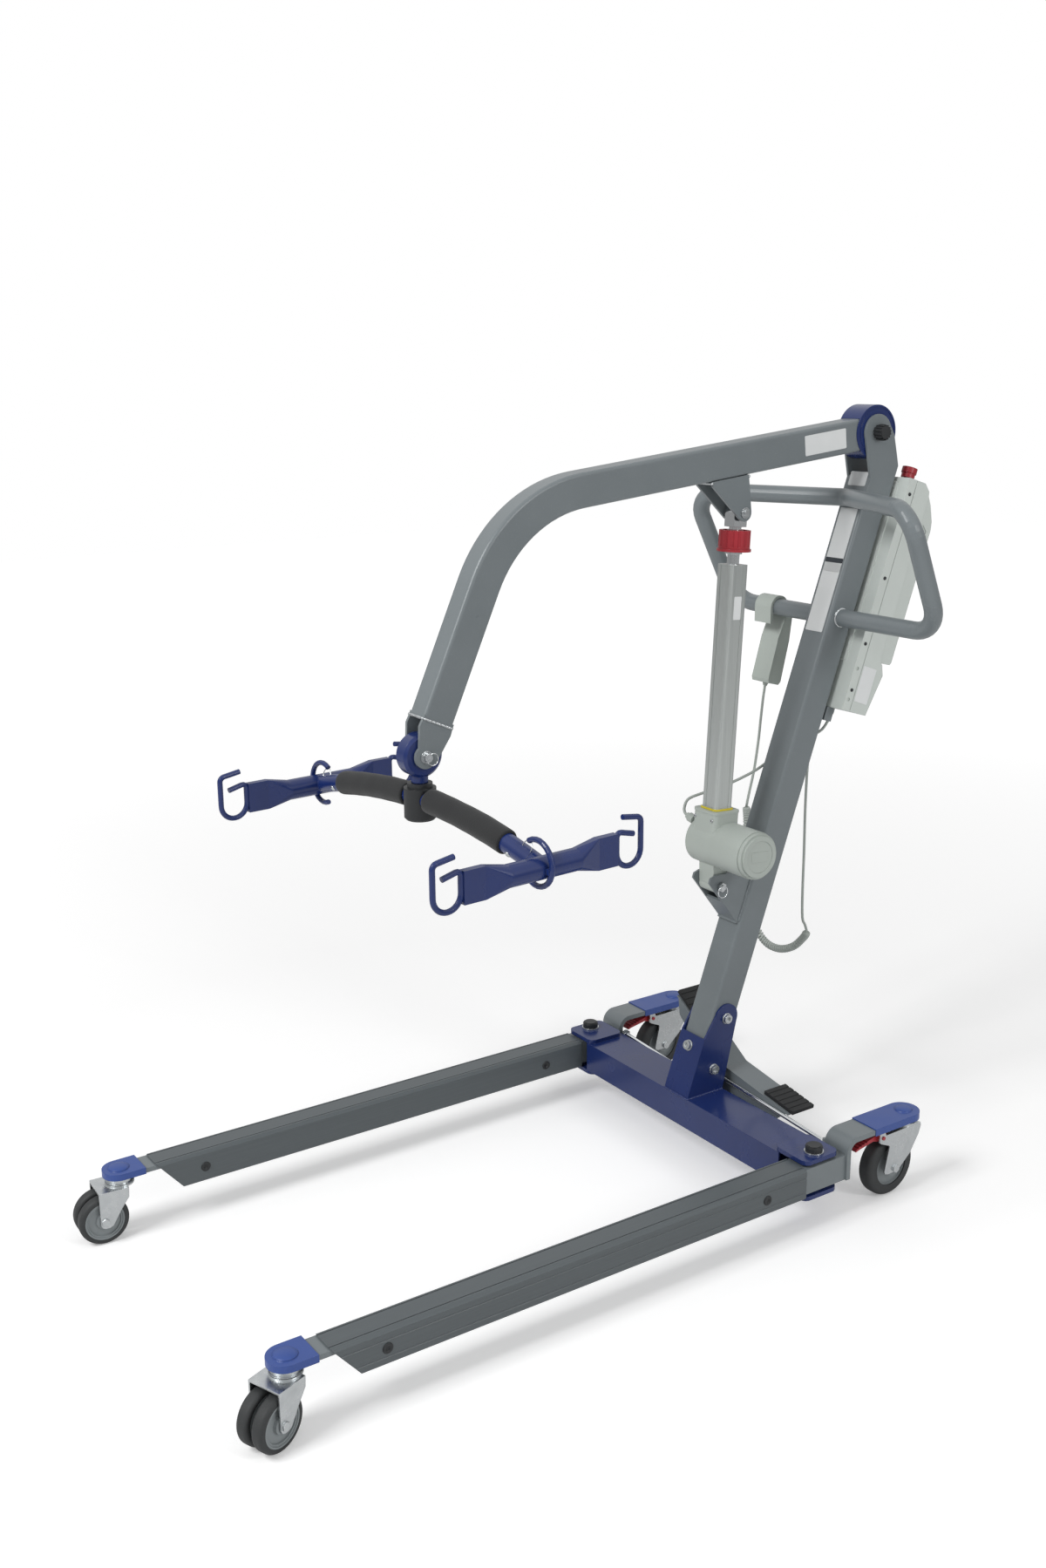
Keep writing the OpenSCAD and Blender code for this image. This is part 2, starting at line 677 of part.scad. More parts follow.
// Push handle: one bent tube, upper bar in front of the mast and lower bar into its sides

h_r = handle_d / 2;
h_gap = mast_h2 + 10.1;
h_top_z = 1064;
h_top_s = (h_top_z - h_gap * mast_s) / mast_c;
h_top = [0, round((mast_y0 - h_gap * mast_c + h_top_s * mast_s) * 10) / 10, h_top_z];
h_hi = [handle_half_w, 180.7, 1066.5];
h_lo = [handle_half_w - 9.7, 271.8, 874.5];
h_in = [mast_w / 2, 271.8, 874.5];

function flip(p) = [-p[0], p[1], p[2]];

function reach(p, q, w, f) = f / tan(acos(unit(p - q) * unit(w - q)) / 2);

function bend(p, q, w, f, n) =
  let (u = unit(p - q))
  let (v = unit(w - q))
  let (a = acos(u * v))
  let (centre = q + unit(u + v) * (f / sin(a / 2)))
  let (s = unit(q + u * reach(p, q, w, f) - centre))
  [for (k = [0:n]) let (t = k * (180 - a) / n)
    [centre + f * (cos(t) * s - sin(t) * u), -sin(t) * s - cos(t) * u]];

handle_path = concat(
  [[flip(h_in), [-1, 0, 0]]],
  bend(flip(h_in), flip(h_lo), flip(h_hi), 53.5, 10),
  bend(flip(h_lo), flip(h_hi), h_top, 39.5, 10),
  bend(flip(h_hi), h_top, h_hi, 30, 6),
  bend(h_top, h_hi, h_lo, 39.5, 10),
  bend(h_hi, h_lo, h_in, 53.5, 10),
  [[h_in, [-1, 0, 0]]]
);

module handle_skin(r, sides, more) {
  last = len(handle_path) - 1;
  skin([for (i = [0:last])
    let (q = handle_path[i])
    let (s = unit(cross(q[1], [0.31, 0.95, 0.05])))
    let (grow = i == 0 ? [more, 0, 0] : i == last ? [-more, 0, 0] : [0, 0, 0])
    ring_at(q[0] + grow, s, cross(q[1], s), r, sides)], sides);
}

module push_handle() {
  color(steel_grey) place() difference() {
    handle_skin(h_r, 28, 0);
    on_mast() box(-mast_w / 2 - g, mast_w / 2 + g, -mast_h2 - g, mast_h2 + g, 700, 1140);
    handle_skin(h_r - 2.2, 9, 2);
  }
}

// Brackets for the actuator

module actuator_bracket() {
  color(steel_grey) place() difference() {
    union() {
      for (s = [-1, 1]) side([[8.5, 470], [11, 478], [22, 481.5], [103.6, 481.5], [70.4, 392], [67.4, 394]],
        s > 0 ? 18 : -22, 4);
      side([[36, 434.4], [39.3, 436.8], [72, 396.6], [70.2, 391.8], [67.4, 394]], -22, 44);
      side([[92, 463], [98, 481.5], [103.6, 481.5], [70.4, 392], [65, 392]], -22, 44);
    }
    xcyl(5 + c, -30, 30, act_a[1], act_a[2]);
    on_mast() box(-30, 30, -mast_h2 - g, mast_h2, 300, 600);
  }
}

module actuator_clevis() {
  color(steel_grey) place() on_boom() difference() {
    union() {
      box(-20, 20, -344, -270.6, -boom_h / 2 - 5, -boom_h / 2 - g);
      for (s = [-1, 1]) side([[-343, -28], [-343, -33], [eye_y - 10.2, eye_z - 8.1], [eye_y + 13.1, eye_z],
        [-271.5, -28]], s > 0 ? 15.2 : -20, 4.8);
      for (s = [-1, 1]) xcyl(13, s > 0 ? 15.2 : -20, s > 0 ? 20 : -15.2, eye_y, eye_z);
    }
    xcyl(5 + c, -30, 30, eye_y, eye_z);
  }
}

// Boom, drawn with its pivot at the origin before the slope is applied

module tube_2d(w, h, r) {
  polygon([for (q = [0:3]) for (k = [0:4])
    let (sx = q == 0 || q == 3 ? 1 : -1)
    let (sy = q < 2 ? 1 : -1)
    [sx * (w / 2 - r) + r * cos(90 * q + 22.5 * k), sy * (h / 2 - r) + r * sin(90 * q + 22.5 * k)]]);
}

module tube_wall_2d(w, h) {
  difference() {
    tube_2d(w, h, 5);
    tube_2d(w - 6, h - 6, 2);
  }
}

module after_bend() {
  translate([0, -l1, -bend_r]) rotate([boom_bend, 0, 0]) translate([0, 0, bend_r]) children();
}

module boom_tube() {
  color(steel_grey) place() on_boom() difference() {
    union() {
      rotate([90, 0, 0]) translate([0, 0, 34]) linear_extrude(l1 - 34) tube_wall_2d(boom_w, boom_h);
      translate([0, -l1, -bend_r]) rotate([0, -90, 0]) rotate([0, 0, -boom_bend])
        rotate_extrude(angle = boom_bend) translate([bend_r, 0]) rotate(90) tube_wall_2d(boom_w, boom_h);
      after_bend() rotate([90, 0, 0]) linear_extrude(low_len) tube_wall_2d(boom_w, boom_h);
      for (z = [-boom_h / 2 + 2, boom_h / 2 - 4.2])
        box(-11, 11, -l1 - 7, -l1 + 7, z, z + 2.2);
      xcyl(13, -20, 20, 0, 0);
      for (s = [-1, 1]) box(s > 0 ? 15 : -20, s > 0 ? 20 : -15, -40, 0, -12, 12);
      after_bend() {
        box(-20, 20, -low_len - 3, -low_len + 4, -boom_h / 2, boom_h / 2);
        for (s = [-1, 1]) side([[-low_len - 2, -boom_h / 2], [-low_len - 2, boom_h / 2],
          [-low_len - 14, boom_h / 2 + 1], [-low_len - 56, 10], [-low_len - 58, -18],
          [-low_len - 12, -boom_h / 2 - 1]], s > 0 ? 15 : -20, 5);
        for (s = [-1, 1]) xcyl(17, s > 0 ? 15 : -20, s > 0 ? 20 : -15, pin_y, 0);
      }
    }
    xcyl(pivot_r + c, -40, 40, 0, 0);
    after_bend() xcyl(6 + c, -40, 40, pin_y, 0);
  }
}

module boom_hub() {
  color(navy) place() on_boom() difference() {
    union() {
      xcyl(hub_d / 2, -21.6, 21.6, 0, 0);
    }
    for (s = [-1, 1]) difference() {
      xcyl(40, s > 0 ? 20.7 : -22, s > 0 ? 22 : -20.7, 0, 0);
      xcyl(35, -23, 23, 0, 0);
    }
    xcyl(13 + g, -23, 23, 0, 0);
    box(-20 - g, 20 + g, -60, 0, -12 - g, 12 + g);
    box(-boom_w / 2 - g, boom_w / 2 + g, -60, -34 + g, -boom_h / 2 - g, boom_h / 2 + g);
  }
}

module boom_pins() {
  color(chrome) place() on_boom() {
    for (s = [-1, 1]) {
      xcyl(5, s > 0 ? 15.2 : -26, s > 0 ? 26 : -15.2, eye_y, eye_z);
      xcyl(8.4, s > 0 ? 20 + g : -22.4, s > 0 ? 22.4 : -20 - g, eye_y, eye_z);
    }
    after_bend() {
      xcyl(6, -26, 28, pin_y, 0);
      xcyl(9, -25, -20 - g, pin_y, 0);
      xcyl(9, 20 + g, 21.6, pin_y, 0);
    }
  }
}

// Hanger and cradle

module hanger_disc() {
  color(navy) place() difference() {
    union() {
      translate([0, hang[1], hang[2]]) rotate([0, 90, 0]) rotate_extrude() polygon([
        [0, -14], [hanger_r - 4, -14], [hanger_r, -10], [hanger_r, 10], [hanger_r - 4, 14], [0, 14]
      ]);
      translate([0, hang[1], bar_z - 27.7]) cylinder(h = 68, r = 7.5);
      translate([0, hang[1], bar_z + 22.7]) cylinder(h = 10, r = 12);
      translate([0, hang[1], bar_z - 28.3]) cylinder(h = 8.2, r = 11);
    }
    xcyl(6 + c, -20, 20, hang[1], hang[2]);
  }
}

module arc_bar(r, a0, a1) {
  translate([0, 0, bar_z - bar_arc_r]) rotate([90, 0, 0]) rotate([0, 0, 90 - a1])
    rotate_extrude(angle = a1 - a0, $fn = 360) translate([bar_arc_r, 0]) circle(r, $fn = 48);
}

bar_end = asin(arm_x / bar_arc_r) - 1.03;
foam_a0 = asin(25.5 / bar_arc_r);
foam_a1 = asin((arm_x - 72) / bar_arc_r);

module spreader_bar() {
  color(navy) place() on_cradle() difference() {
    union() {
      arc_bar(bar_d / 2, -bar_end, bar_end);
      translate([0, 0, bar_z - 19.7]) cylinder(h = 38.4, r = 11);
    }
    translate([0, 0, bar_z - 31.7]) cylinder(h = 60, r = 7.5 + c);
    for (s = [-1, 1]) arc_bar(bar_d / 2 - 2.5, s > 0 ? 0.8 : -bar_end - 1, s > 0 ? bar_end + 1 : -0.8);
  }
}

module foam_grips() {
  color(black) place() on_cradle() for (s = [-1, 1]) difference() {
    arc_bar(foam_d / 2, s > 0 ? foam_a0 : -foam_a1, s > 0 ? foam_a1 : -foam_a0);
    arc_bar(bar_d / 2 + 0.15, s > 0 ? foam_a0 - 1 : -foam_a1 - 1, s > 0 ? foam_a1 + 1 : -foam_a0 + 1);
  }
}

module swivel_housing() {
  color(black) place() on_cradle() difference() {
    union() {
      translate([0, 0, bar_z - 27.7]) cylinder(h = 43, r = 23);
      translate([0, 0, bar_z - 30.9]) cylinder(h = 3.4, r1 = 20, r2 = 23);
      translate([0, 0, bar_z + 15.1]) cylinder(h = 7.1, r = 18);
    }
    arc_bar(bar_d / 2 + 0.15, -2, 2);
    translate([0, 0, bar_z - 41.7]) cylinder(h = 80, r = 11.15);
    translate([0, 0, bar_z - 41.7]) cylinder(h = 22, r = 12.5);
  }
}

arm_z = round((bar_z - bar_arc_r * (1 - cos(asin(arm_x / bar_arc_r)))) * 10 + 3) / 10;
echo("arm", arm_z);

j_points = [[156, arm_z + 16], [127, arm_z + 23], [127, arm_z - 27.25], [169.5, arm_z - 27.25],
  [169.5, arm_z + 37], [137, arm_z + 42]];

module wire(path, n, r, sides) {
  skin([for (q = path) ring_at(q[0], n, cross(q[1], n), r, sides)], sides);
}

module j_hook(s) {
  p = [for (q = j_points) [0, s * q[0], q[1]]];
  wire(concat(
    [[p[0], unit(p[1] - p[0])]],
    bend(p[0], p[1], p[2], 6, 4),
    bend(p[1], p[2], p[3], 21, 8),
    bend(p[2], p[3], p[4], 21, 8),
    bend(p[3], p[4], p[5], 8, 5),
    [[p[5], unit(p[5] - p[4])]]
  ), [1, 0, 0], hook_d / 2, 12);
}

module c_hook() {
  wire([for (t = [-116:14:122]) [[-9 + 31 * cos(t), 0, arm_z + 4 + 31 * sin(t)], [-sin(t), 0, cos(t)]]],
    [0, 1, 0], hook_d / 2, 12);
}

module cradle_arm(s) {
  color(navy) place() on_cradle() translate([s * arm_x, 0, 0]) scale([s, 1, 1]) union() {
    union() {
      translate([0, 56, arm_z]) rotate([90, 0, 0]) cylinder(h = 112, r = 15.5);
      for (k = [-1, 1]) {
        hull() {
          translate([0, k > 0 ? 56 : -57, arm_z]) rotate([-90, 0, 0]) cylinder(h = 1, r = 15.5);
          translate([-5.5, k > 0 ? 92 : -93, arm_z - 22]) cube([11, 1, 44]);
        }
        box(-5.5, 5.5, k > 0 ? 92.5 : -125.5, k > 0 ? 125.5 : -92.5, arm_z - 22, arm_z + 22);
        j_hook(k);
      }
      translate([0, 0, arm_z]) rotate([0, -76.34, 0]) {
        cylinder(h = 18.3, r = bar_d / 2);
        cylinder(h = 44, r = bar_d / 2 - 2.9);
      }
      box(12, 21, -5, 5, arm_z - 5, arm_z + 3);
      c_hook();
    }
  }
}

module cradle_right() { cradle_arm(1); }
module cradle_left() { cradle_arm(-1); }

// Actuator, drawn along its own axis from the lower pin

module actuator_housing() {
  color(pale) place() on_actuator() difference() {
    union() {
      translate([0, 0, 70]) round_box(54, 54, 9, 52);
      translate([0, 0, 121.5]) round_box(56, 56, 10, 4);
      side([[-17, 70], [17, 70], [12, 8], [0, -12], [-12, 4]], -17.6, 35.2);
      xcyl(12, -17.6, 17.6, 0, 0);
      xcyl(motor_d / 2 - 3, -36, 0, 4.8, 69);
      xcyl(motor_d / 2, -33, 30, 4.8, 69);
      translate([-34, -16, 100]) rotate([0, -78, 0]) cylinder(h = 12, r = 7.5);
      translate([-44, -16, 102]) rotate([0, -78, 0]) cylinder(h = 8, r = 5);
    }
    xcyl(5 + c, -30, 30, 0, 0);
    translate([0, 0, 90]) cylinder(h = 60, r = 14);
    translate([0, 0, 125.2]) round_box(37.6, 37.6, 6, 10);
    xcyl(motor_d / 2 - 3, -30, 40, 4.8, 69);
  }
}

module drive_motor() {
  color(pale) place() on_actuator() difference() {
    union() {
      xcyl(motor_d / 2, 30.1, 92, 4.8, 69);
      xcyl(motor_d / 2 - 1.6, 92, 99, 4.8, 69);
      xcyl(motor_d / 2 - 5, 99, 103, 4.8, 69);
      xcyl(26, -24, 30.5, 4.8, 69);
      xcyl(9, -28, -22, 4.8, 69);
    }
    xcyl(26, 102, 110, 4.8, 69);
  }
}

module actuator_tube() {
  color(alu) place() on_actuator() {
    difference() {
      translate([0, 0, 129.2]) round_box(profile_w, profile_w, 5, 385.3);
      translate([0, 0, 120]) round_box(profile_w - 8, profile_w - 8, 3, 390);
      translate([0, 0, 505]) cylinder(h = 20, r = rod_d / 2 + 0.1);
      for (a = [0:90:270]) rotate([0, 0, a]) translate([profile_w / 2 - 0.8, -8, 100]) cube([2, 16, 420]);
    }
    difference() {
      translate([0, 0, 125.4]) round_box(37.4, 37.4, 6, 3.9);
      translate([0, 0, 120]) cylinder(h = 10, r = 13);
    }
  }
}

module lead_screw() {
  color(chrome) place() on_actuator() difference() {
    union() {
      translate([0, 0, 104]) cylinder(h = 390, r = 5.6);
      translate([0, 0, 104]) cylinder(h = 5, r = 12);
    }
    for (k = [0:11]) translate([0, 0, 130 + 6 * k]) difference() {
      cylinder(h = 2.4, r = 7);
      cylinder(h = 2.4, r = 5);
    }
  }
}

module piston_rod() {
  color(chrome) place() on_actuator() difference() {
    union() {
      translate([0, 0, 190]) cylinder(h = act_len - 200, r = rod_d / 2);
      translate([0, 0, 188]) cylinder(h = 18, r = 13.2);
      translate([-11, -13, act_len - 22]) cube([22, 26, 22]);
      xcyl(13, -11, 11, 0, act_len);
      xcyl(5, -14.8, 14.8, 0, act_len);
      translate([0, 0, 530.4]) cylinder(h = 3.6, r = 13);
    }
    translate([0, 0, 180]) cylinder(h = 330, r = 6);
  }
}

module release_knob() {
  color(red) place() on_actuator() difference() {
    union() {
      translate([0, 0, 534.4]) cylinder(h = 4, r = knob_d / 2 + 2);
      translate([0, 0, 538]) cylinder(h = 29, r = knob_d / 2);
    }
    translate([0, 0, 530]) cylinder(h = 40, r = rod_d / 2 + c);
    for (a = [0:24:359]) rotate([0, 0, a]) translate([knob_d / 2 + 1.2, 0, 542]) cylinder(h = 30, r = 2.6);
    translate([0, 0, 563.5]) difference() {
      cylinder(h = 5, r = 19);
      cylinder(h = 5, r = 13);
    }
  }
}

// Control box and battery, in the mast's frame

bx_n0 = mast_h2 + 8;
bx_s0 = 787;
bx_s1 = bx_s0 + box_h;

module control_box() {
  hw = box_w / 2;
  color(pale) place() on_mast() difference() {
    union() {
      side([[bx_n0, bx_s0], [bx_n0, bx_s1], [72, bx_s1 + 2], [86, bx_s1 - 8], [88, bx_s1 - 16],
        [88, 882], [96, 876], [104, 860], [91, bx_s0 + 2]], -hw, box_w);
      for (x = [-20, 4]) translate([x, 60, bx_s0 - 9]) cylinder(h = 10, r = 6);
      side([[bx_n0 - 1.6, 868], [bx_n0, 866], [bx_n0, bx_s1 - 7], [bx_n0 - 1.6, bx_s1 - 9]], -30, 60);
    }
    side([[bx_n0 + 3, bx_s0 + 4], [bx_n0 + 3, bx_s1 - 5], [70, bx_s1 - 5], [84.5, bx_s1 - 16],
      [84.5, bx_s0 + 5]], -hw + 3, box_w - 6);
    for (s = [-1, 1]) side([[bx_n0 + 17, bx_s0 - 1], [bx_n0 + 18.6, bx_s0 - 1], [bx_n0 + 18.6, bx_s1 + 5],
      [bx_n0 + 17, bx_s1 + 5]], s > 0 ? hw - 1 : -hw - 1, 2);
    for (z = [806, 858]) xcyl(3, hw - 2, hw + 1, bx_n0 + 8, z);
    translate([18, 63, bx_s1 - 25]) cylinder(h = 40, r = 7.2);
  }
}

module control_board() {
  color([0.10, 0.35, 0.20]) place() on_mast() {
    translate([-40, bx_n0 + 6, 815]) cube([80, 2, box_h - 138]);
    for (q = [[-30, 840, 18, 12], [5, 830, 24, 20], [-28, 900, 30, 10], [10, 920, 16, 16], [-25, 980, 40, 8]])
      translate([q[0], bx_n0 + 7.5, q[1]]) cube([q[2], q[3], 22]);
    for (x = [-34, 34]) for (z = [822, bx_s1 - 117]) translate([x, bx_n0 + 3.1, z]) rotate([-90, 0, 0])
      cylinder(h = 3.6, r = 3);
  }
}

module battery_pack() {
  color(pale) place() on_mast() difference() {
    side([[88.4, 884], [97, 879], [119, 881], [121.5, 886], [121.5, bx_s1 - 63], [118, bx_s1 - 49],
      [104, bx_s1 - 25], [92, bx_s1 - 11], [88.4, bx_s1 - 11]], -46, 92);
    side([[123, bx_s1 - 175], [120.3, bx_s1 - 172], [120.3, bx_s1 - 115], [123, bx_s1 - 112]], -30, 60);
    for (s = [-1, 1]) side([[100, bx_s1 - 85], [112, bx_s1 - 85], [112, bx_s1 - 67], [100, bx_s1 - 59]],
      s > 0 ? 44 : -47, 3);
  }
}

module estop_button() {
  color(red) place() on_mast() {
    translate([18, 63, bx_s1 + 6.6]) cylinder(h = 9, r = 11);
    translate([18, 63, bx_s1 + 14]) cylinder(h = 9.5, r = 12.5);
    translate([18, 63, bx_s1 - 11]) cylinder(h = 18, r = 6.8);
  }
}

// Handset hung on the left lower bar of the handle

hs_x = -139;
hs_lean = 14.4;

module on_handset() {
  translate([hs_x, 293, 857]) rotate([-hs_lean, 0, 0]) children();
}

module handset_case() {
  color(pale) place() difference() {
    union() {
      translate([hs_x - 20, h_lo[1], h_lo[2]]) rotate([0, 90, 0]) difference() {
        cylinder(h = 40, r = h_r + 5.4);
        translate([0, 0, -1]) cylinder(h = 42, r = h_r + 0.6);
        translate([0, -40, -1]) cube([40, 80, 42]);
      }
      box(hs_x - 20, hs_x + 20, h_lo[1] - h_r - 5.4, h_lo[1] - h_r - 0.6, 848, 875);
      box(hs_x - 16, hs_x + 16, h_lo[1] + h_r + 0.8, h_lo[1] + h_r + 5.4, 846, 875);
      on_handset() {
        translate([-17, -6, -60]) cube([34, 14, 68]);
        side([[-6, 2], [8, 2], [13, -40], [14, -112], [10, -118], [-12, -118], [-15, -112],
          [-13, -40]], -21, 42);
        translate([0, 0, -124]) cylinder(h = 8, r1 = 3.2, r2 = 6);
      }
    }
    translate([hs_x - 30, h_lo[1], h_lo[2]]) rotate([0, 90, 0]) cylinder(h = 60, r = h_r + 0.6);
    on_handset() for (z = [-62, -86]) translate([0, 4, z]) rotate([-90, 0, 0]) cylinder(h = 20, r = 7.2);
  }
}

module up_button() {
  color(black) place() on_handset() translate([0, 6, -62]) rotate([-90, 0, 0]) {
    cylinder(h = 10.4, r = 6.8);
  }
}

module down_button() {
  color(black) place() on_handset() translate([0, 6, -86]) rotate([-90, 0, 0]) {
    cylinder(h = 10.8, r = 6.8);
  }
}

// Cords

coil_path = [[-139, 228, 526], [-140, 231, 500], [-141, 234, 455], [-141, 238, 400], [-139, 243, 350],
  [-131, 248, 308], [-106, 252, 281], [-72, 254, 278], [-38, 255, 293], [-13, 255, 318], [-8, 255, 327]];
coil_n = 70;
coil_r = 3.7;
wire_r = 2.3;
coil_len = 425;
echo("gap between curls", coil_len / coil_n - 2 * wire_r);

function coil_point(t) =
  let (k = len(coil_path) - 1)
  let (f = frame_at(coil_path, t * k))
  curve(coil_path, t * k) + coil_r * (cos(360 * coil_n * t) * f[0] + sin(360 * coil_n * t) * f[1]);

module handset_coil() {
  color(pale) place() {
    n = coil_n * 8;
    skin([for (i = [0:n])
      let (t = i / n)
      let (p = coil_point(t))
      let (d = unit(coil_point(min(t + 0.0004, 1)) - coil_point(max(t - 0.0004, 0))))
      let (m = curve(coil_path, t * (len(coil_path) - 1)))
      let (o = unit(p - m))
      let (s = unit(o - (o * d) * d))
      ring_at(p, s, cross(d, s), wire_r, 6)], 6);
  }
}

thin_down = [[-139, 262.1, 736.5], [-139, 261, 728], [-139, 259, 716], [-139, 255, 680],
  [-139, 251, 640], [-139, 243, 590], [-139, 234, 554], [-139, 229.5, 536]];
thin_up = [[-8, 255, 332], [-12, 255, 340], [-19, 255, 352], [-21, 255, 400], [-21, 255, 470],
  [-21, 254, 560], [-21, 257, 640], [-20, 266, 680], [-20, 272.5, 698], [-20, 275.6, 706],
  [-20, 277.5, 711.2]];

module handset_cord() {
  color(pale) place() {
    cable(thin_down, 2.1, 8, 4);
    cable(thin_up, 2.1, 8, 4);
    translate([-139, 228.2, 529.4]) rotate([-8, 0, 0]) cylinder(h = 12, r1 = 6.5, r2 = 3);
  }
}

motor_lead = [[-52.2, 21.8, 565.6], [-58, 21.8, 568], [-61.5, 23, 576], [-59, 29, 590], [-48, 48, 599],
  [-40, 68, 604], [-35, 95, 611], [-34, 125, 618], [-34, 156, 627], [-34, 200, 646], [-30, 240, 664],
  [-6, 264, 680], [4, 272.5, 698], [4, 275.6, 706], [4, 277.5, 711.2]];

module actuator_cord() {
  color(pale) place() cable(motor_lead, 2.2, 8, 4);
}

crossbar();
mast_socket();
mast();
mast_bolts();
push_handle();
actuator_bracket();
pivot_bolts();
bolt_caps();
control_box();
control_board();
battery_pack();
estop_button();
handset_case();
up_button();
down_button();
handset_cord();
handset_coil();
actuator_cord();
rocker_pedal();
pedal_pads();
link_rod_right();
link_rod_left();
boom_tube();
boom_hub();
actuator_clevis();
boom_pins();
hanger_disc();
swivel_housing();
spreader_bar();
foam_grips();
cradle_right();
cradle_left();
actuator_housing();
actuator_tube();
drive_motor();
lead_screw();
piston_rod();
release_knob();
leg_tube_right();
leg_tube_left();
leg_cover_right();
leg_cover_left();
leg_caps_right();
leg_caps_left();
leg_screws_right();
leg_screws_left();
front_fork_right();
front_fork_left();
front_wheels_right();
front_wheels_left();
front_tyres_right();
front_tyres_left();
rear_fork_right();
rear_fork_left();
rear_wheel_right();
rear_wheel_left();
rear_tyre_right();
rear_tyre_left();
rear_brake_right();
rear_brake_left();
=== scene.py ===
# %% [markdown]
# # A patient lift, dressed for its portrait
# The steel, the casters and the actuator come from the CAD model as a fixed frame. This file adds what a
# CAD solid leaves out: finishes, soft foam, flexible leads, weld beads and small marks.
# Everything is in metres and stays in the CAD model's own coordinates.

# %% Load the frame
import json
import math
import bpy
import bmesh
from mathutils import Matrix, Vector


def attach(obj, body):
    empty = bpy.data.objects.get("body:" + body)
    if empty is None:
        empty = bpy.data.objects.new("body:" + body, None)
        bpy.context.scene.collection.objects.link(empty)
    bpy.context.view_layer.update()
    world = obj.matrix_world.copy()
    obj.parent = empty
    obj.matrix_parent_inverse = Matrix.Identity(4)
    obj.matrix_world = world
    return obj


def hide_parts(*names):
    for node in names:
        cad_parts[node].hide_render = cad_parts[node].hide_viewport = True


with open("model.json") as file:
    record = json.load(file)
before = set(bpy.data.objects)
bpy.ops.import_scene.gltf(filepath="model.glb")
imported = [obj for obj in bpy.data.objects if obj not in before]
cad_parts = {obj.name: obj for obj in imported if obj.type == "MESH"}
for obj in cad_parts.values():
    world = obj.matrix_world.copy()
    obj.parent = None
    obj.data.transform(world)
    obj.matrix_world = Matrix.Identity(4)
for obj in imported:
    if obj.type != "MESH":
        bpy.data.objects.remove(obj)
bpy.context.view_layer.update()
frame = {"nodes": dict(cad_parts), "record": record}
nodes = frame["nodes"]

# %% [markdown]
# The lift was drawn in millimetres about the middle of its leg pivots, and then moved so that its
# bounding box is centred. Each working frame below is one 4 x 4 matrix: the whole lift, the leaning
# mast, the sloping boom, the actuator and the cradle. A piece is built flat in its own frame and put in
# place by the matrix, so its numbers stay readable. Angles are in degrees.

# %% Working frames
MM = 0.001
FROM_DRAWING = (-6.011 * MM, 252.531 * MM, 0)
MAST_TILT, MAST_FOOT = 19.81, (0, -42.45, 0)
BOOM_SLOPE, BOOM_PIVOT = 6.25, (0, 337.6, 1166.3)
ACTUATOR_LEAN, LOWER_PIN = 3.1084, (0, 32.2, 461)
CRADLE_YAW, CRADLE_PLACE = 4, (0, -507.718, 0)


def at(*place):
    """A move, in the millimetres of the frame it is used in."""
    return Matrix.Translation(place)


def turned(degrees, axis):
    return Matrix.Rotation(math.radians(degrees), 4, axis)


LIFT = at(*FROM_DRAWING) @ Matrix.Scale(MM, 4)
MAST = LIFT @ at(*MAST_FOOT) @ turned(-MAST_TILT, "X")
BOOM = LIFT @ at(*BOOM_PIVOT) @ turned(BOOM_SLOPE, "X")
ACTUATOR = LIFT @ at(*LOWER_PIN) @ turned(-ACTUATOR_LEAN, "X")
CRADLE = LIFT @ at(*CRADLE_PLACE) @ turned(CRADLE_YAW, "Z")
print("mast leans", MAST_TILT, "degrees, boom falls", BOOM_SLOPE)

# %% [markdown]
# The camera is placed by numbers solved from the photograph: where vertical and horizontal edges of the
# base meet, and the round outlines of the wheels. It stands to the right and in front, a little above
# the boom's height, and looks slightly down.

# %% Camera
def in_scene(name, data):
    """A new object that holds data, at the origin, in the scene."""
    made = bpy.data.objects.new(name, data)
    bpy.context.scene.collection.objects.link(made)
    return made


AZIMUTH = math.radians(56.14)
ELEVATION = math.radians(14.83)
ROLL = math.radians(-0.5)
EYE = Vector((1.87019, -1.34047, 1.2824))
FOCAL_LENGTH, SENSOR_WIDTH = 55.107, 36

back = Vector((math.sin(AZIMUTH) * math.cos(ELEVATION), -math.cos(AZIMUTH) * math.cos(ELEVATION),
               math.sin(ELEVATION)))
right = Vector((math.cos(AZIMUTH), math.sin(AZIMUTH), 0))
up = back.cross(right)
right, up = (right * math.cos(ROLL) + up * math.sin(ROLL), up * math.cos(ROLL) - right * math.sin(ROLL))
camera = in_scene("camera", bpy.data.cameras.new("camera"))
camera.matrix_world = Matrix.Translation(EYE) @ Matrix((right, up, back)).transposed().to_4x4()
camera.data.lens = FOCAL_LENGTH
camera.data.sensor_width = SENSOR_WIDTH
camera.data.sensor_fit = "HORIZONTAL"
camera.data.clip_start = 0.05
bpy.context.scene.camera = camera
print("camera looks down", round(math.degrees(ELEVATION), 1), "degrees through", FOCAL_LENGTH, "mm")

# %% [markdown]
# Two flexible leads show in the photograph. A lead hangs in a smooth line with no corner, so a few
# chosen points are joined by a curve that passes through each of them. A round profile swept along it
# makes the sheath, and the result is kept as a plain mesh. The line's own length is the real length of
# wire. The same helper that keeps this mesh also keeps the result of a Geometry Nodes tree later on.

# %% Leads: a smooth line through chosen points
SHEATH_ROUNDNESS = 3
LEAD_RADIUS = 2.3


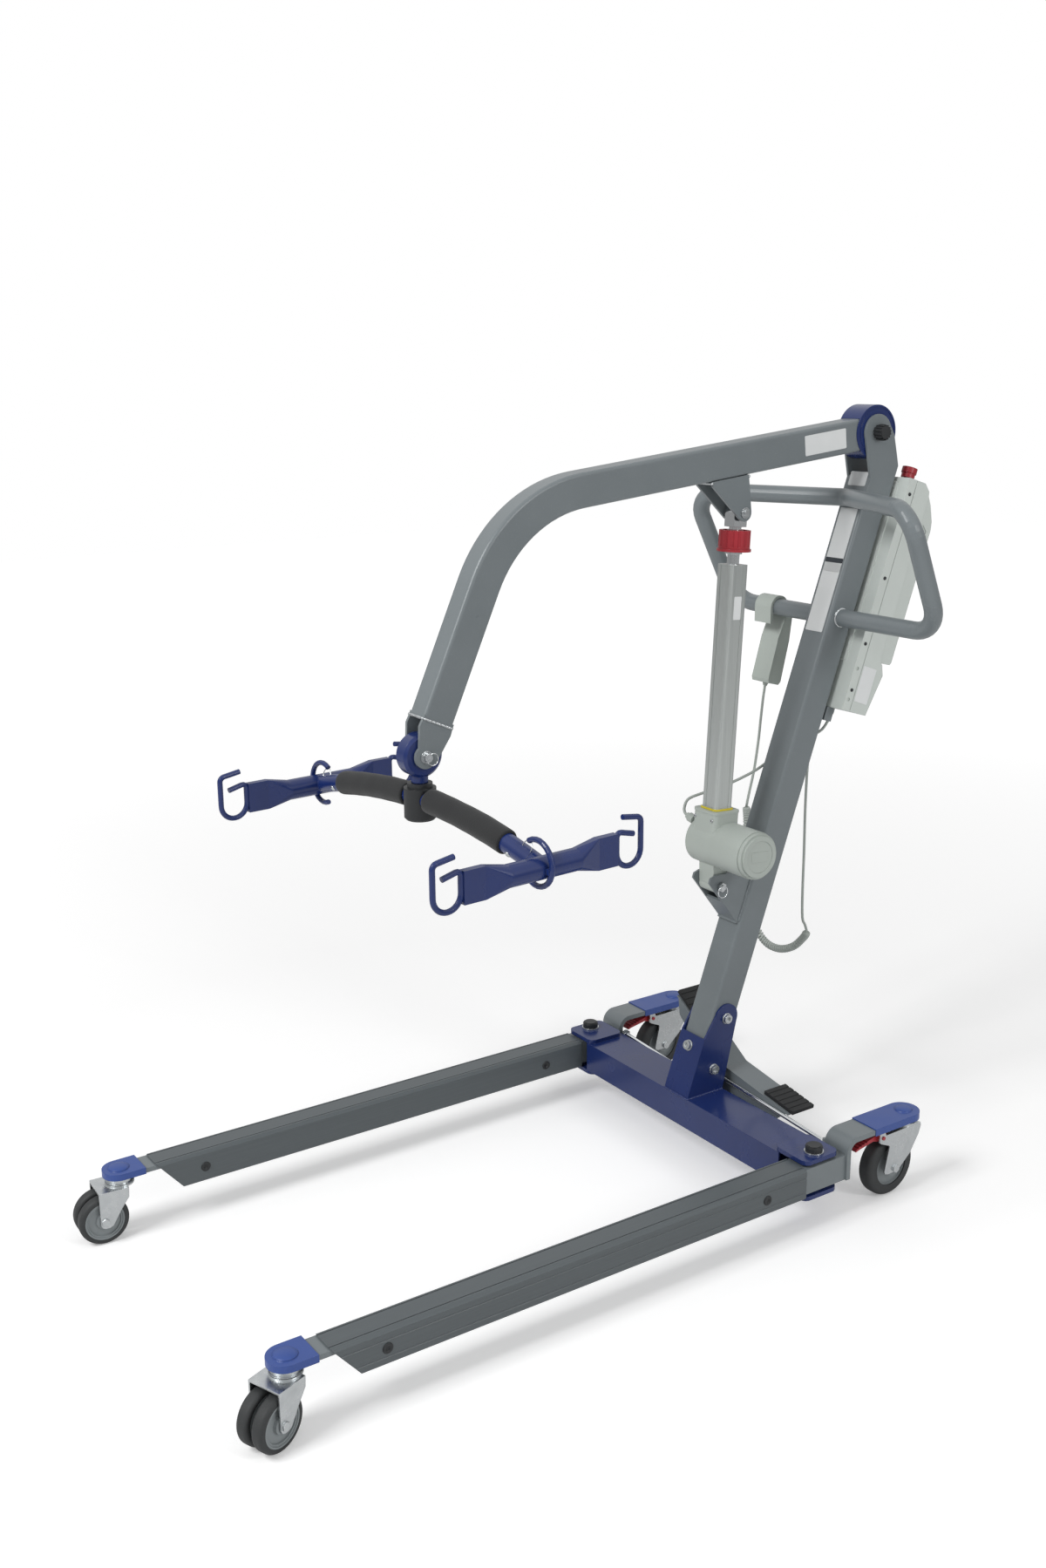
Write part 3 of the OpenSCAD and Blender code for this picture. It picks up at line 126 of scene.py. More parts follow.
def on_curve(points, t):
    """A point on the smooth curve through points, at t from 0 to 1."""
    n = len(points) - 1
    i = min(int(t * n), n - 1)
    f = t * n - i
    a, b, c, d = (points[max(i - 1, 0)], points[i], points[i + 1], points[min(i + 2, n)])
    return 0.5 * (2 * b + (c - a) * f + (2 * a - 5 * b + 4 * c - d) * f * f
                  + (3 * b - a - 3 * c + d) * f ** 3)


def sampled(points, count):
    return [on_curve(points, k / count) for k in range(count + 1)]


def frozen(name, data, tree=None):
    """Evaluates a guide, with a Geometry Nodes tree if one is given, and keeps a plain mesh of it."""
    guide = in_scene(name + "_guide", data)
    if tree:
        guide.modifiers.new("grow", "NODES").node_group = tree
    seen_guide = guide.evaluated_get(bpy.context.evaluated_depsgraph_get())
    mesh = bpy.data.meshes.new_from_object(seen_guide)
    bpy.data.objects.remove(guide)
    return in_scene(name, mesh)


def lead(name, points, body, nodes_replaced):
    """A round lead through points in millimetres."""
    line = bpy.data.curves.new(name, "CURVE")
    line.dimensions = "3D"
    line.bevel_depth = LEAD_RADIUS * MM
    line.bevel_resolution = SHEATH_ROUNDNESS
    line.use_fill_caps = True
    spline = line.splines.new("POLY")
    spline.points.add(len(points) - 1)
    placed = [LIFT @ p for p in points]
    for knot, p in zip(spline.points, placed):
        knot.co = (*p, 1)
    piece = frozen(name, line)
    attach(piece, body)
    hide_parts(*nodes_replaced)
    return piece


# %% [markdown]
# The handset's lead drops from the handset, curls through seventy turns, hangs in a U and climbs to the
# bottom of the control box. The curls are a helix wound round a centre line. The helix opens over its
# first turn and closes over its last, because wire can't leave a coil with a corner.

# %% Handset lead
THIN_DOWN = [Vector(p) for p in (
    (-139, 262.1, 736.5), (-139, 261, 728), (-139, 259, 716), (-139, 255, 680), (-139, 251, 640),
    (-139, 243, 590), (-139, 234, 554), (-139, 229.5, 536))]
COIL_LINE = [Vector(p) for p in (
    (-139, 228, 526), (-140, 231, 500), (-141, 234, 455), (-141, 238, 400), (-139, 243, 350),
    (-131, 248, 308), (-106, 252, 281), (-72, 254, 278), (-38, 255, 293), (-13, 255, 318),
    (-8, 255, 327))]
THIN_UP = [Vector(p) for p in (
    (-8, 255, 332), (-12, 255, 340), (-19, 255, 352), (-21, 255, 400), (-21, 255, 470), (-21, 254, 560),
    (-21, 257, 640), (-20, 266, 680), (-20, 272.5, 698), (-20, 275.6, 706), (-20, 277.5, 711.2))]
CURLS = 70
CURL_RADIUS = 4.7
POINTS_PER_CURL = 16
OPENING_TURNS = 1.2
LOOK_AHEAD = 0.002
ACROSS_LINE = Vector((0.31, 0.95, 0.05))


def curl(t):
    """A point of the helix round COIL_LINE."""
    ahead = on_curve(COIL_LINE, min(t + LOOK_AHEAD, 1)) - on_curve(COIL_LINE, max(t - LOOK_AHEAD, 0))
    along = ahead.normalized()
    side = along.cross(ACROSS_LINE).normalized()
    angle = 2 * math.pi * CURLS * t
    opening = min(1, min(t, 1 - t) * CURLS / OPENING_TURNS)
    spread = CURL_RADIUS * (3 * opening ** 2 - 2 * opening ** 3)
    return (on_curve(COIL_LINE, t)
            + spread * (math.cos(angle) * side + math.sin(angle) * along.cross(side)))


curls = [curl(k / (CURLS * POINTS_PER_CURL)) for k in range(CURLS * POINTS_PER_CURL + 1)]
handset_lead = lead("handset_lead", sampled(THIN_DOWN, 28) + curls + sampled(THIN_UP, 40), "chassis",
                    ["handset_cord", "handset_coil"])

# %% [markdown]
# The actuator's lead leaves the socket on the actuator's neck, loops out, and passes beside the mast to
# the second socket of the control box. It needs no curls, so its chosen points are enough.

# %% Actuator lead
MOTOR_LEAD = [Vector(p) for p in (
    (-52.2, 21.8, 565.6), (-58, 21.8, 568), (-61.5, 23, 576), (-59, 29, 590),
    (-48, 48, 599), (-40, 68, 604), (-35, 95, 611), (-34, 125, 618), (-34, 156, 627), (-34, 200, 646),
    (-30, 240, 664), (-6, 264, 680), (4, 272.5, 698), (4, 275.6, 706), (4, 277.5, 711.2))]
actuator_lead = lead("actuator_lead", sampled(MOTOR_LEAD, 60), "chassis", ["actuator_cord"])

# %% [markdown]
# Every finish starts from what the real surface is. Colours are written as sRGB hex values, as a paint
# chart gives them, and one function turns them into the linear values that the renderer works with.
# Patterns read Object coordinates, which are metres here, so a scale of 1000 repeats once a millimetre.

# %% Colour and node helpers
def linear(hex_colour):
    """sRGB hex text to linear RGBA."""
    channels = [int(hex_colour[i:i + 2], 16) / 255 for i in (0, 2, 4)]
    return (*(c / 12.92 if c <= 0.04045 else ((c + 0.055) / 1.055) ** 2.4 for c in channels), 1)


def add(tree, kind, settings=None, inputs=None):
    """Adds one node. An input is a value, or a socket that is linked to it."""
    made = tree.nodes.new(kind)
    for key, value in (settings or {}).items():
        setattr(made, key, value)
    for key, value in (inputs or {}).items():
        if isinstance(value, bpy.types.NodeSocket):
            tree.links.new(value, made.inputs[key])
        else:
            made.inputs[key].default_value = value
    return made


def new_material(name):
    made = bpy.data.materials.new(name)
    made.use_nodes = True
    made.node_tree.nodes.clear()
    return made, made.node_tree


def close(tree, shader):
    add(tree, "ShaderNodeOutputMaterial", inputs={"Surface": shader.outputs[0]})


# %% [markdown]
# Most surfaces of the lift share one build-up: a base colour that drifts a little over a hand's width,
# a fine grain, and a roughness that follows the drift. Powder coat, moulded plastic, rubber and plated
# steel differ in the numbers, so one function makes them all and the numbers tell them apart.

# %% The shared finish
def finish(name, colour, drift_colour, drift_mm, grain_mm, bump, roughness, roughness_drift,
           metallic=0.0, ior=1.45, coat=0.0, speck_colour=None, speck_amount=0.0, edge=0.8):
    """A coated, moulded or plated surface. Sizes are in millimetres: bump is a height, edge a radius."""
    made, tree = new_material(name)
    where = add(tree, "ShaderNodeTexCoord").outputs["Object"]
    drift = add(tree, "ShaderNodeTexNoise", inputs={
        "Vector": where, "Scale": 1000 / drift_mm, "Detail": 3.0, "Roughness": 0.55})
    grain = add(tree, "ShaderNodeTexNoise", inputs={
        "Vector": where, "Scale": 1000 / grain_mm, "Detail": 2.0, "Roughness": 0.6})
    tint = add(tree, "ShaderNodeMix", {"data_type": "RGBA"}, {
        "Factor": drift.outputs["Fac"], "A": linear(colour), "B": linear(drift_colour)})
    colour_out = tint.outputs["Result"]
    if speck_colour:
        speck = add(tree, "ShaderNodeMapRange", inputs={
            "Value": grain.outputs["Fac"], "From Min": 0.62, "From Max": 0.70, "To Max": speck_amount})
        specked = add(tree, "ShaderNodeMix", {"data_type": "RGBA"}, {
            "Factor": speck.outputs["Result"], "A": colour_out, "B": linear(speck_colour)})
        colour_out = specked.outputs["Result"]
    rough = add(tree, "ShaderNodeMapRange", inputs={
        "Value": drift.outputs["Fac"], "From Min": 0.3, "From Max": 0.7,
        "To Min": roughness - roughness_drift, "To Max": roughness + roughness_drift})
    soft_edge = add(tree, "ShaderNodeBevel", {"samples": 6}, {"Radius": edge * MM})
    relief = add(tree, "ShaderNodeBump", inputs={
        "Strength": 0.6, "Distance": bump * MM, "Height": grain.outputs["Fac"],
        "Normal": soft_edge.outputs["Normal"]})
    close(tree, add(tree, "ShaderNodeBsdfPrincipled", inputs={
        "Base Color": colour_out, "Metallic": metallic, "IOR": ior, "Coat Weight": coat,
        "Roughness": rough.outputs["Result"], "Normal": relief.outputs["Normal"]}))
    return made


# %% [markdown]
# Input values come from how each piece was made. Powder coat melts into a faint orange peel about
# 2 mm across. Moulded nylon and ABS copy the spark-eroded grain of their mould. Zinc plate is a soft,
# slightly cloudy mirror, while hard chrome on the piston rod is a clean one. A row gives the name and
# two colours, then millimetres of drift, grain and relief, then the roughness and how far it drifts.

# %% Finishes of the lift
METAL_IOR = 1.5  # the shader's default, which a metal keeps
SURFACES = {
    # polyester powder coat over steel: satin, with the orange peel of a baked film
    "grey_paint": finish("satin_grey_powder_coat", "70777A", "787F82", 90, 2.2, 0.05, 0.31, 0.04,
                         speck_colour="8E9596", speck_amount=0.2),
    # the same film in navy, glossier
    "navy_paint": finish("navy_powder_coat", "14265C", "192E69", 70, 2.2, 0.05, 0.26, 0.03, coat=0.12,
                         speck_colour="33477C", speck_amount=0.05),
    # injection-moulded polypropylene caps, a brighter blue
    "cap_plastic": finish("blue_moulded_polypropylene", "314A8E", "3A5498", 40, 0.9, 0.03, 0.36, 0.06),
    # zinc plated pressed steel: bright, a little cloudy
    "zinc": finish("zinc_plated_steel", "C9CCCD", "B4B8BA", 14, 0.8, 0.02, 0.30, 0.08,
                   metallic=1.0, ior=METAL_IOR),
    # hard chrome over ground steel
    "chrome": finish("hard_chrome", "D9DBDC", "CFD2D4", 30, 1.5, 0.005, 0.13, 0.03,
                     metallic=1.0, ior=METAL_IOR),
    # fine spark-eroded grain on ABS
    "pale_plastic": finish("pale_grey_moulded_abs", "A7AFA9", "B0B7B1", 80, 0.9, 0.04, 0.46, 0.05,
                           speck_colour="D2D7D3", speck_amount=0.25),
    # glass-filled nylon
    "black_plastic": finish("black_moulded_nylon", "1E2022", "292B2D", 30, 0.9, 0.04, 0.45, 0.07),
    "red_plastic": finish("red_moulded_nylon", "9C2630", "A92E37", 30, 0.9, 0.03, 0.34, 0.05),
    # moulded pedal rubber, dull with grit in its grooves
    "pad_rubber": finish("black_pedal_rubber", "1B1C1D", "2A2B2C", 25, 1.2, 0.08, 0.75, 0.08,
                         speck_colour="3A3B3B", speck_amount=0.4),
    # caster tread: dark polyurethane with a dusty running band
    "tyre_rubber": finish("dark_caster_tread", "2A2C2D", "37393A", 20, 1.4, 0.06, 0.62, 0.08,
                          speck_colour="4A4C4C", speck_amount=0.35),
    "wheel_plastic": finish("grey_nylon_wheel", "7C8284", "868C8E", 25, 0.9, 0.04, 0.46, 0.06),
    "board": finish("green_solder_mask", "14532A", "1A5F33", 20, 0.8, 0.02, 0.3, 0.04),
    "cord_pvc": finish("grey_green_cable_sheath", "A3AAA5", "ADB3AE", 30, 0.9, 0.02, 0.48, 0.05),
    "key_rubber": finish("soft_keypad_rubber", "2B3036", "343A40", 12, 0.7, 0.03, 0.62, 0.05),
}
print("finishes", len(SURFACES))


# %% [markdown]
# The actuator's square tube is extruded aluminium, and the leg covers are an extruded plastic profile.
# Drawing a bar through a die leaves fine lines along its length. Stretching a noise along the bar draws
# those lines. A wave would repeat too evenly.

# %% Extruded bars
def extruded(name, colour, light_colour, turn, stretch, metallic, rough_low, rough_high, height_mm):
    """turn lines the pattern up with the bar, and stretch is its scale per metre along each axis."""
    made, tree = new_material(name)
    where = add(tree, "ShaderNodeTexCoord").outputs["Object"]
    along = add(tree, "ShaderNodeMapping", inputs={
        "Vector": where, "Rotation": turn, "Scale": stretch})
    lines = add(tree, "ShaderNodeTexNoise", inputs={
        "Vector": along.outputs["Vector"], "Scale": 1.0, "Detail": 3.0, "Roughness": 0.7})
    tint = add(tree, "ShaderNodeMix", {"data_type": "RGBA"}, {
        "Factor": lines.outputs["Fac"], "A": linear(colour), "B": linear(light_colour)})
    rough = add(tree, "ShaderNodeMapRange", inputs={
        "Value": lines.outputs["Fac"], "To Min": rough_low, "To Max": rough_high})
    soft_edge = add(tree, "ShaderNodeBevel", {"samples": 6}, {"Radius": 0.6 * MM})
    relief = add(tree, "ShaderNodeBump", inputs={
        "Strength": 0.35, "Distance": height_mm * MM, "Height": lines.outputs["Fac"],
        "Normal": soft_edge.outputs["Normal"]})
    close(tree, add(tree, "ShaderNodeBsdfPrincipled", inputs={
        "Base Color": tint.outputs["Result"], "Metallic": metallic, "Roughness": rough.outputs["Result"],
        "Normal": relief.outputs["Normal"]}))
    return made


# anodising dulls the aluminium to a soft grey mirror
TUBE_TURN = (math.radians(ACTUATOR_LEAN), 0, 0)
SURFACES["alloy"] = extruded("anodised_extruded_aluminium", "B0B5B3", "C8CCCA", TUBE_TURN,
                             (900, 900, 8), 0.85, 0.26, 0.42, 0.03)
# a rigid PVC profile: dark grey, satin, streaked along the leg
SURFACES["cover_plastic"] = extruded("extruded_grey_pvc", "4B5154", "5A6164", (0, 0, 0),
                                     (700, 6, 700), 0.0, 0.36, 0.5, 0.04)
# the control box and battery are moulded in a paler ABS than the actuator
SURFACES["box_plastic"] = finish("light_moulded_abs", "C4CBC6", "CCD2CE", 80, 0.9, 0.04, 0.46, 0.05,
                                 speck_colour="D6DBD7", speck_amount=0.25)
# blank vinyl plates, smooth and satin
SURFACES["vinyl"] = finish("blank_white_vinyl", "D9DCDC", "E2E4E4", 40, 1.5, 0.01, 0.4, 0.04)
SURFACES["yellow_seal"] = finish("yellow_seal_rubber", "D8C431", "E0CE42", 20, 0.9, 0.02, 0.5, 0.05)


# %% [markdown]
# Foam grips are closed-cell nitrile foam: matt black skin with pores about a millimetre wide that
# catch a little light. Voronoi cells make the pores, and a slow noise dulls patches where hands rub.

# %% Foam
def foam(name, colour, worn_colour, pore_mm):
    made, tree = new_material(name)
    where = add(tree, "ShaderNodeTexCoord").outputs["Object"]
    pores = add(tree, "ShaderNodeTexVoronoi", inputs={"Vector": where, "Scale": 1000 / pore_mm})
    rub = add(tree, "ShaderNodeTexNoise", inputs={"Vector": where, "Scale": 1000 / 45, "Detail": 2.0})
    tint = add(tree, "ShaderNodeMix", {"data_type": "RGBA"}, {
        "Factor": rub.outputs["Fac"], "A": linear(colour), "B": linear(worn_colour)})
    relief = add(tree, "ShaderNodeBump", inputs={
        "Strength": 0.8, "Distance": 0.25 * MM, "Height": pores.outputs["Distance"]})
    close(tree, add(tree, "ShaderNodeBsdfPrincipled", inputs={
        "Base Color": tint.outputs["Result"], "Roughness": 0.86, "Sheen Weight": 0.12,
        "Sheen Roughness": 0.5, "Normal": relief.outputs["Normal"]}))
    return made


SURFACES["foam"] = foam("nitrile_foam", "1A1B1C", "252627", 1.6)

# %% [markdown]
# The CAD model says in each node's material slot what the node is made of. Here every slot gets its
# finish. The control box and the battery share a slot with the actuator, but their plastic is paler.

# %% Dress the CAD nodes
for row in frame["record"]["subparts"]:
    piece = nodes[row["node"]]
    piece.data.materials.clear()
    piece.data.materials.append(SURFACES[row["material_slot"]])
for name in ("control_box", "battery_pack"):
    nodes[name].data.materials[0] = SURFACES["box_plastic"]
for piece in (handset_lead, actuator_lead):
    piece.data.materials.append(SURFACES["cord_pvc"])

# %% [markdown]
# The spreader bar's two grips are foam sleeves pushed over the arched tube. A sleeve's end is cut square
# but its edge rolls in a little, and the skin is never quite even. Each is swept here along the bar's
# arc: a closed profile runs out along the skin, over the rounded end and back along the bore.

# %% Foam grips
ARC_RADIUS, BAR_TOP = 1045, 691.7
GRIP_NEAR, GRIP_FAR = 25.5, 200
GRIP_FROM, GRIP_TO = (math.degrees(math.asin(x / ARC_RADIUS)) for x in (GRIP_NEAR, GRIP_FAR))
ROWS_OUT, ROWS_BACK = 44, 6


def mesh_piece(name, verts, faces, matrix, body, finish_name, smooth=True):
    """A closed mesh in millimetres, put in place by its frame's matrix and ridden on a body."""
    mesh = bpy.data.meshes.new(name)
    mesh.from_pydata([matrix @ Vector(v) for v in verts], [], faces)
    shape = bmesh.new()
    shape.from_mesh(mesh)
    bmesh.ops.remove_doubles(shape, verts=shape.verts, dist=1e-6)
    bmesh.ops.recalc_face_normals(shape, faces=shape.faces)
    shape.to_mesh(mesh)
    shape.free()
    mesh.polygons.foreach_set("use_smooth", [smooth] * len(mesh.polygons))
    mesh.materials.append(SURFACES[finish_name])
    piece = in_scene(name, mesh)
    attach(piece, body)
    return piece


def foam_grip(name, side, outer=17.6, inner=13.66, roll=2.6, around=56):
    span = math.radians(GRIP_TO - GRIP_FROM) * ARC_RADIUS
    skin = [(0.0, inner), (0.0, outer - roll)]
    skin += [(roll * (1 - math.cos(a)), outer - roll + roll * math.sin(a))
             for a in (math.radians(x) for x in (25, 50, 70, 90))]
    skin += [(roll + (span - 2 * roll) * k / ROWS_OUT, outer) for k in range(1, ROWS_OUT)]
    skin += [(span - x, r) for x, r in reversed(skin[:6])]
    skin += [(span * k / ROWS_BACK, inner) for k in range(ROWS_BACK - 1, 0, -1)]
    verts, faces = [], []
    for x, r in skin:
        a = math.radians(GRIP_FROM) + x / ARC_RADIUS
        uneven = 0.16 * math.sin(x / 17 + side) + 0.1 * math.sin(x / 6.1)
        for k in range(around):
            t = 2 * math.pi * k / around
            swell = r if r <= inner else r + uneven + 0.08 * math.sin(3 * t + x / 23)
            reach = ARC_RADIUS + swell * math.cos(t)
            verts.append((side * reach * math.sin(a), swell * math.sin(t),
                          BAR_TOP - ARC_RADIUS + reach * math.cos(a)))
    for i in range(len(skin)):
        for k in range(around):
            j, m = (i + 1) % len(skin), (k + 1) % around
            faces.append((i * around + k, j * around + k, j * around + m, i * around + m))
    piece = mesh_piece(name, verts, faces, CRADLE, "cradle", "foam")
    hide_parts("foam_grips")
    return piece


grips = [foam_grip("foam_grip_right", 1), foam_grip("foam_grip_left", -1)]
print("grip triangles", sum(len(g.data.polygons) * 2 for g in grips))

# %% [markdown]
# Welds show wherever tube meets plate: a row of small overlapping ripples, frozen as the torch moved
# on, painted over or left bright. A bead repeats along its joint, so a Geometry Nodes tree makes it: it
# walks the joint's line, sets a stretched drop every few millimetres and turns each along the line.

# %% Weld bead tree
def new_tree(name, sizes):
    """An empty tree that takes and gives geometry, with one named input for each size or count."""
    tree = bpy.data.node_groups.new(name, "GeometryNodeTree")
    tree.interface.new_socket("Geometry", in_out="INPUT", socket_type="NodeSocketGeometry")
    for label, value in sizes.items():
        kind = "NodeSocketInt" if isinstance(value, int) else "NodeSocketFloat"
        tree.interface.new_socket(label, in_out="INPUT", socket_type=kind).default_value = value
    tree.interface.new_socket("Geometry", in_out="OUTPUT", socket_type="NodeSocketGeometry")
    return tree, add(tree, "NodeGroupInput")


def bead_tree(name, step_mm, width_mm, finish_name):
    tree, given = new_tree(name, {"Step": step_mm * MM, "Width": width_mm * MM})
    line = add(tree, "GeometryNodeMeshToCurve", inputs={"Mesh": given.outputs["Geometry"]})
    steps = add(tree, "GeometryNodeCurveToPoints", {"mode": "LENGTH"}, {
        "Curve": line.outputs["Curve"], "Length": given.outputs["Step"]})
    drop = add(tree, "GeometryNodeMeshIcoSphere", inputs={"Radius": 0.5, "Subdivisions": 2})
    size = add(tree, "ShaderNodeCombineXYZ", inputs={
        "X": given.outputs["Width"], "Y": given.outputs["Width"], "Z": given.outputs["Step"]})
    stretch = add(tree, "ShaderNodeVectorMath", {"operation": "MULTIPLY"}, {
        0: size.outputs["Vector"], 1: (1.0, 1.0, 2.1)})
    ripple = add(tree, "FunctionNodeRandomValue", {"data_type": "FLOAT"}, {2: 0.85, 3: 1.15, "Seed": 7})
    varied = add(tree, "ShaderNodeVectorMath", {"operation": "SCALE"}, {
        0: stretch.outputs["Vector"], "Scale": ripple.outputs[1]})
    placed = add(tree, "GeometryNodeInstanceOnPoints", inputs={
        "Points": steps.outputs["Points"], "Instance": drop.outputs["Mesh"],
        "Rotation": steps.outputs["Rotation"], "Scale": varied.outputs["Vector"]})
    real = add(tree, "GeometryNodeRealizeInstances", inputs={"Geometry": placed.outputs["Instances"]})
    smooth = add(tree, "GeometryNodeSetShadeSmooth", inputs={"Geometry": real.outputs["Geometry"]})
    dressed = add(tree, "GeometryNodeSetMaterial", inputs={
        "Geometry": smooth.outputs["Geometry"], "Material": SURFACES[finish_name]})
    add(tree, "NodeGroupOutput", inputs={"Geometry": dressed.outputs["Geometry"]})
    return tree


def grown(name, tree, verts, edges, body, slot_name):
    """Runs a tree on a guide mesh and keeps the result as a plain mesh on one body."""
    guide_mesh = bpy.data.meshes.new(name + "_guide")
    guide_mesh.from_pydata(verts, edges, [])
    piece = frozen(name, guide_mesh, tree)
    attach(piece, body)
    print(name, "faces", len(piece.data.polygons))
    return piece


def joints_of(lines):
    """Guide vertices and edges for several open lines, each (frame matrix, points in millimetres)."""
    verts, edges = [], []
    for matrix, points in lines:
        first = len(verts)
        verts += [matrix @ Vector(p) for p in points]
        edges += [(first + k, first + k + 1) for k in range(len(points) - 1)]
    return verts, edges


def ring_line(centre, radius, count=36):
    """A closed ring across the X axis, as points in millimetres."""
    return [(centre[0], centre[1] + radius * math.cos(2 * math.pi * k / count),
             centre[2] + radius * math.sin(2 * math.pi * k / count)) for k in range(count + 1)]


# %% [markdown]
# The base's bead is painted navy with the socket it closes, the mast's beads are painted grey, and those
# of the handle and the boom's end are bright in the photograph. A bead is laid along each line below, in
# the frame of the part that carries it, just outside the two surfaces it joins.

# %% Welds of the base, mast and boom
BEND_RADIUS, BEND_START, BEND_ANGLE = 208.6, -578.8, 59.55
BOOM_END = BOOM @ at(0, BEND_START, -BEND_RADIUS) @ turned(BEND_ANGLE, "X") @ at(0, 0, BEND_RADIUS)
BOTH = (-1, 1)
bright_bead = bead_tree("bright_bead", 1.9, 4.2, "zinc")
painted_bead = bead_tree("painted_bead", 2.2, 4.4, "grey_paint")
navy_bead = bead_tree("navy_bead", 2.2, 4.6, "navy_paint")

# round three sides of the socket, on the crossbar's top
socket_line = [(29.6, 38, 109.2), (29.6, -36.2, 109.2), (-29.6, -36.2, 109.2), (-29.6, 38, 109.2)]
grown("socket_weld", navy_bead, *joints_of([(LIFT, socket_line)]), "chassis", "navy_paint")

# round the handle's lower tube and along its upper one, where they meet the mast's sides
handle_lines = [(LIFT, ring_line((s * 26.6, 271.8, 874.5), 14.3)) for s in BOTH]
handle_lines += [(MAST, [(s * 26.6, -24, 1120), (s * 26.6, -2, 1120)]) for s in BOTH]
grown("handle_weld", bright_bead, *joints_of(handle_lines), "chassis", "zinc")

# above and below the handle's upper tube, and down both edges of the actuator's bracket, in front
mast_lines = [(MAST, [(-12, -26.9, 1117.8 + k * 10.6), (12, -26.9, 1117.8 + k * 10.6)]) for k in BOTH]
mast_lines += [(MAST, [(s * 22.3, -26.6, 411), (s * 22.3, -26.6, 498)]) for s in BOTH]
grown("mast_weld", painted_bead, *joints_of(mast_lines), "chassis", "grey_paint")

# round the boom's free end, and across both ends of the actuator's clevis
boom_lines = [(BOOM_END, [(s * 20.2, -201, -23), (s * 20.2, -201, 23)]) for s in BOTH]
boom_lines += [(BOOM_END, [(-18, -201, s * 25.6), (18, -201, s * 25.6)]) for s in BOTH]
boom_lines += [(BOOM, [(-19, y, -28), (19, y, -28)]) for y in (-344.3, -270.4)]
grown("boom_weld", bright_bead, *joints_of(boom_lines), "boom", "zinc")

# %% [markdown]
# Turned and moulded details come from one lathe function: a profile in radius and height is swept once
# round. It makes the domed covers over the caster stems here, and later plugs, rivets and lamps. The
# profile starts and ends a hair off the axis, so its poles close when doubles are merged.

# %% Lathe and the domes over the caster stems
NEAR_AXIS = 0.0001
LEG_X, FRONT_STEM_Y, REAR_STEM_Y = 286.2, -884, 192.4
SIDES = (("right", 1), ("left", -1))


def lathe(name, profile, matrix, body, finish_name, around=48):
    """profile holds (radius, height) in millimetres, from the axis at the foot to that at the top."""
    verts, faces = [], []
    for r, h in profile:
        verts += [(r * math.cos(2 * math.pi * k / around), r * math.sin(2 * math.pi * k / around), h)
                  for k in range(around)]
    for i in range(len(profile) - 1):
        for k in range(around):
            m = (k + 1) % around
            faces.append((i * around + k, i * around + m, (i + 1) * around + m, (i + 1) * around + k))
    piece = mesh_piece(name, verts, faces, matrix, body, finish_name)
    return piece


def dome(radius, height, foot, steps=10):
    """A shallow moulded dome with a small fillet where it leaves its cap."""
    rise = [(radius * math.cos(a) + NEAR_AXIS, foot + height * math.sin(a))
            for a in (math.radians(90 * k / steps) for k in range(steps + 1))]
    return [(NEAR_AXIS, foot - 1), (radius + 1.2, foot - 1), (radius + 1.2, foot)] + rise


for side, s in SIDES:
    lathe(f"front_cap_dome_{side}", dome(15.6, 4.4, 109.05), LIFT @ at(s * LEG_X, FRONT_STEM_Y, 0),
          f"{side}_leg", "cap_plastic")
    lathe(f"rear_cap_dome_{side}", dome(13.6, 4.0, 132.05), LIFT @ at(s * LEG_X, REAR_STEM_Y, 0),
          f"{side}_leg", "cap_plastic")

# %% [markdown]
# Round black plugs close the holes through which each leg cover is screwed to its tube, two on the outer
# face and two on the inner one. A plug has a flat rim and a sunk middle.

# %% Plugs of the leg covers
PLUG = [(NEAR_AXIS, -0.6), (7.6, -0.6), (7.6, 0.8), (6.8, 1.5), (3.6, 1.5), (3.2, 0.5), (NEAR_AXIS, 0.5)]
COVER_HALF_WIDTH, PLUG_HEIGHT = 24.7, 81.8
for side, s in SIDES:
    for face, out in (("outer", s), ("inner", -s)):
        for end, y in (("front", -755), ("rear", -115)):
            spot = LIFT @ at(s * LEG_X + out * COVER_HALF_WIDTH, y, PLUG_HEIGHT) @ turned(out * 90, "Y")
            lathe(f"cover_plug_{side}_{face}_{end}", PLUG, spot, f"{side}_leg", "black_plastic",
                  around=32)

# %% [markdown]
# Spring wire rings hold the clevis pins: two on the cradle's arms, one on the hanger's pin and one on
# the actuator's lower pin. A ring is a circle of wire, swept round once and closed on itself. A rivet
# holds each arm's socket to the spreader bar.

# %% Pin rings and cradle rivets
def wire_ring(name, radius, wire, matrix, body, around=40, sides=10):
    verts, faces = [], []
    for k in range(around):
        a = 2 * math.pi * k / around
        for m in range(sides):
            b = 2 * math.pi * m / sides
            reach = radius + wire * math.cos(b)
            verts.append((reach * math.cos(a), reach * math.sin(a), wire * math.sin(b)))
            row, next_row, n = k * sides, ((k + 1) % around) * sides, (m + 1) % sides
            faces.append((row + m, next_row + m, next_row + n, row + n))
    piece = mesh_piece(name, verts, faces, matrix, body, "chrome")
    return piece


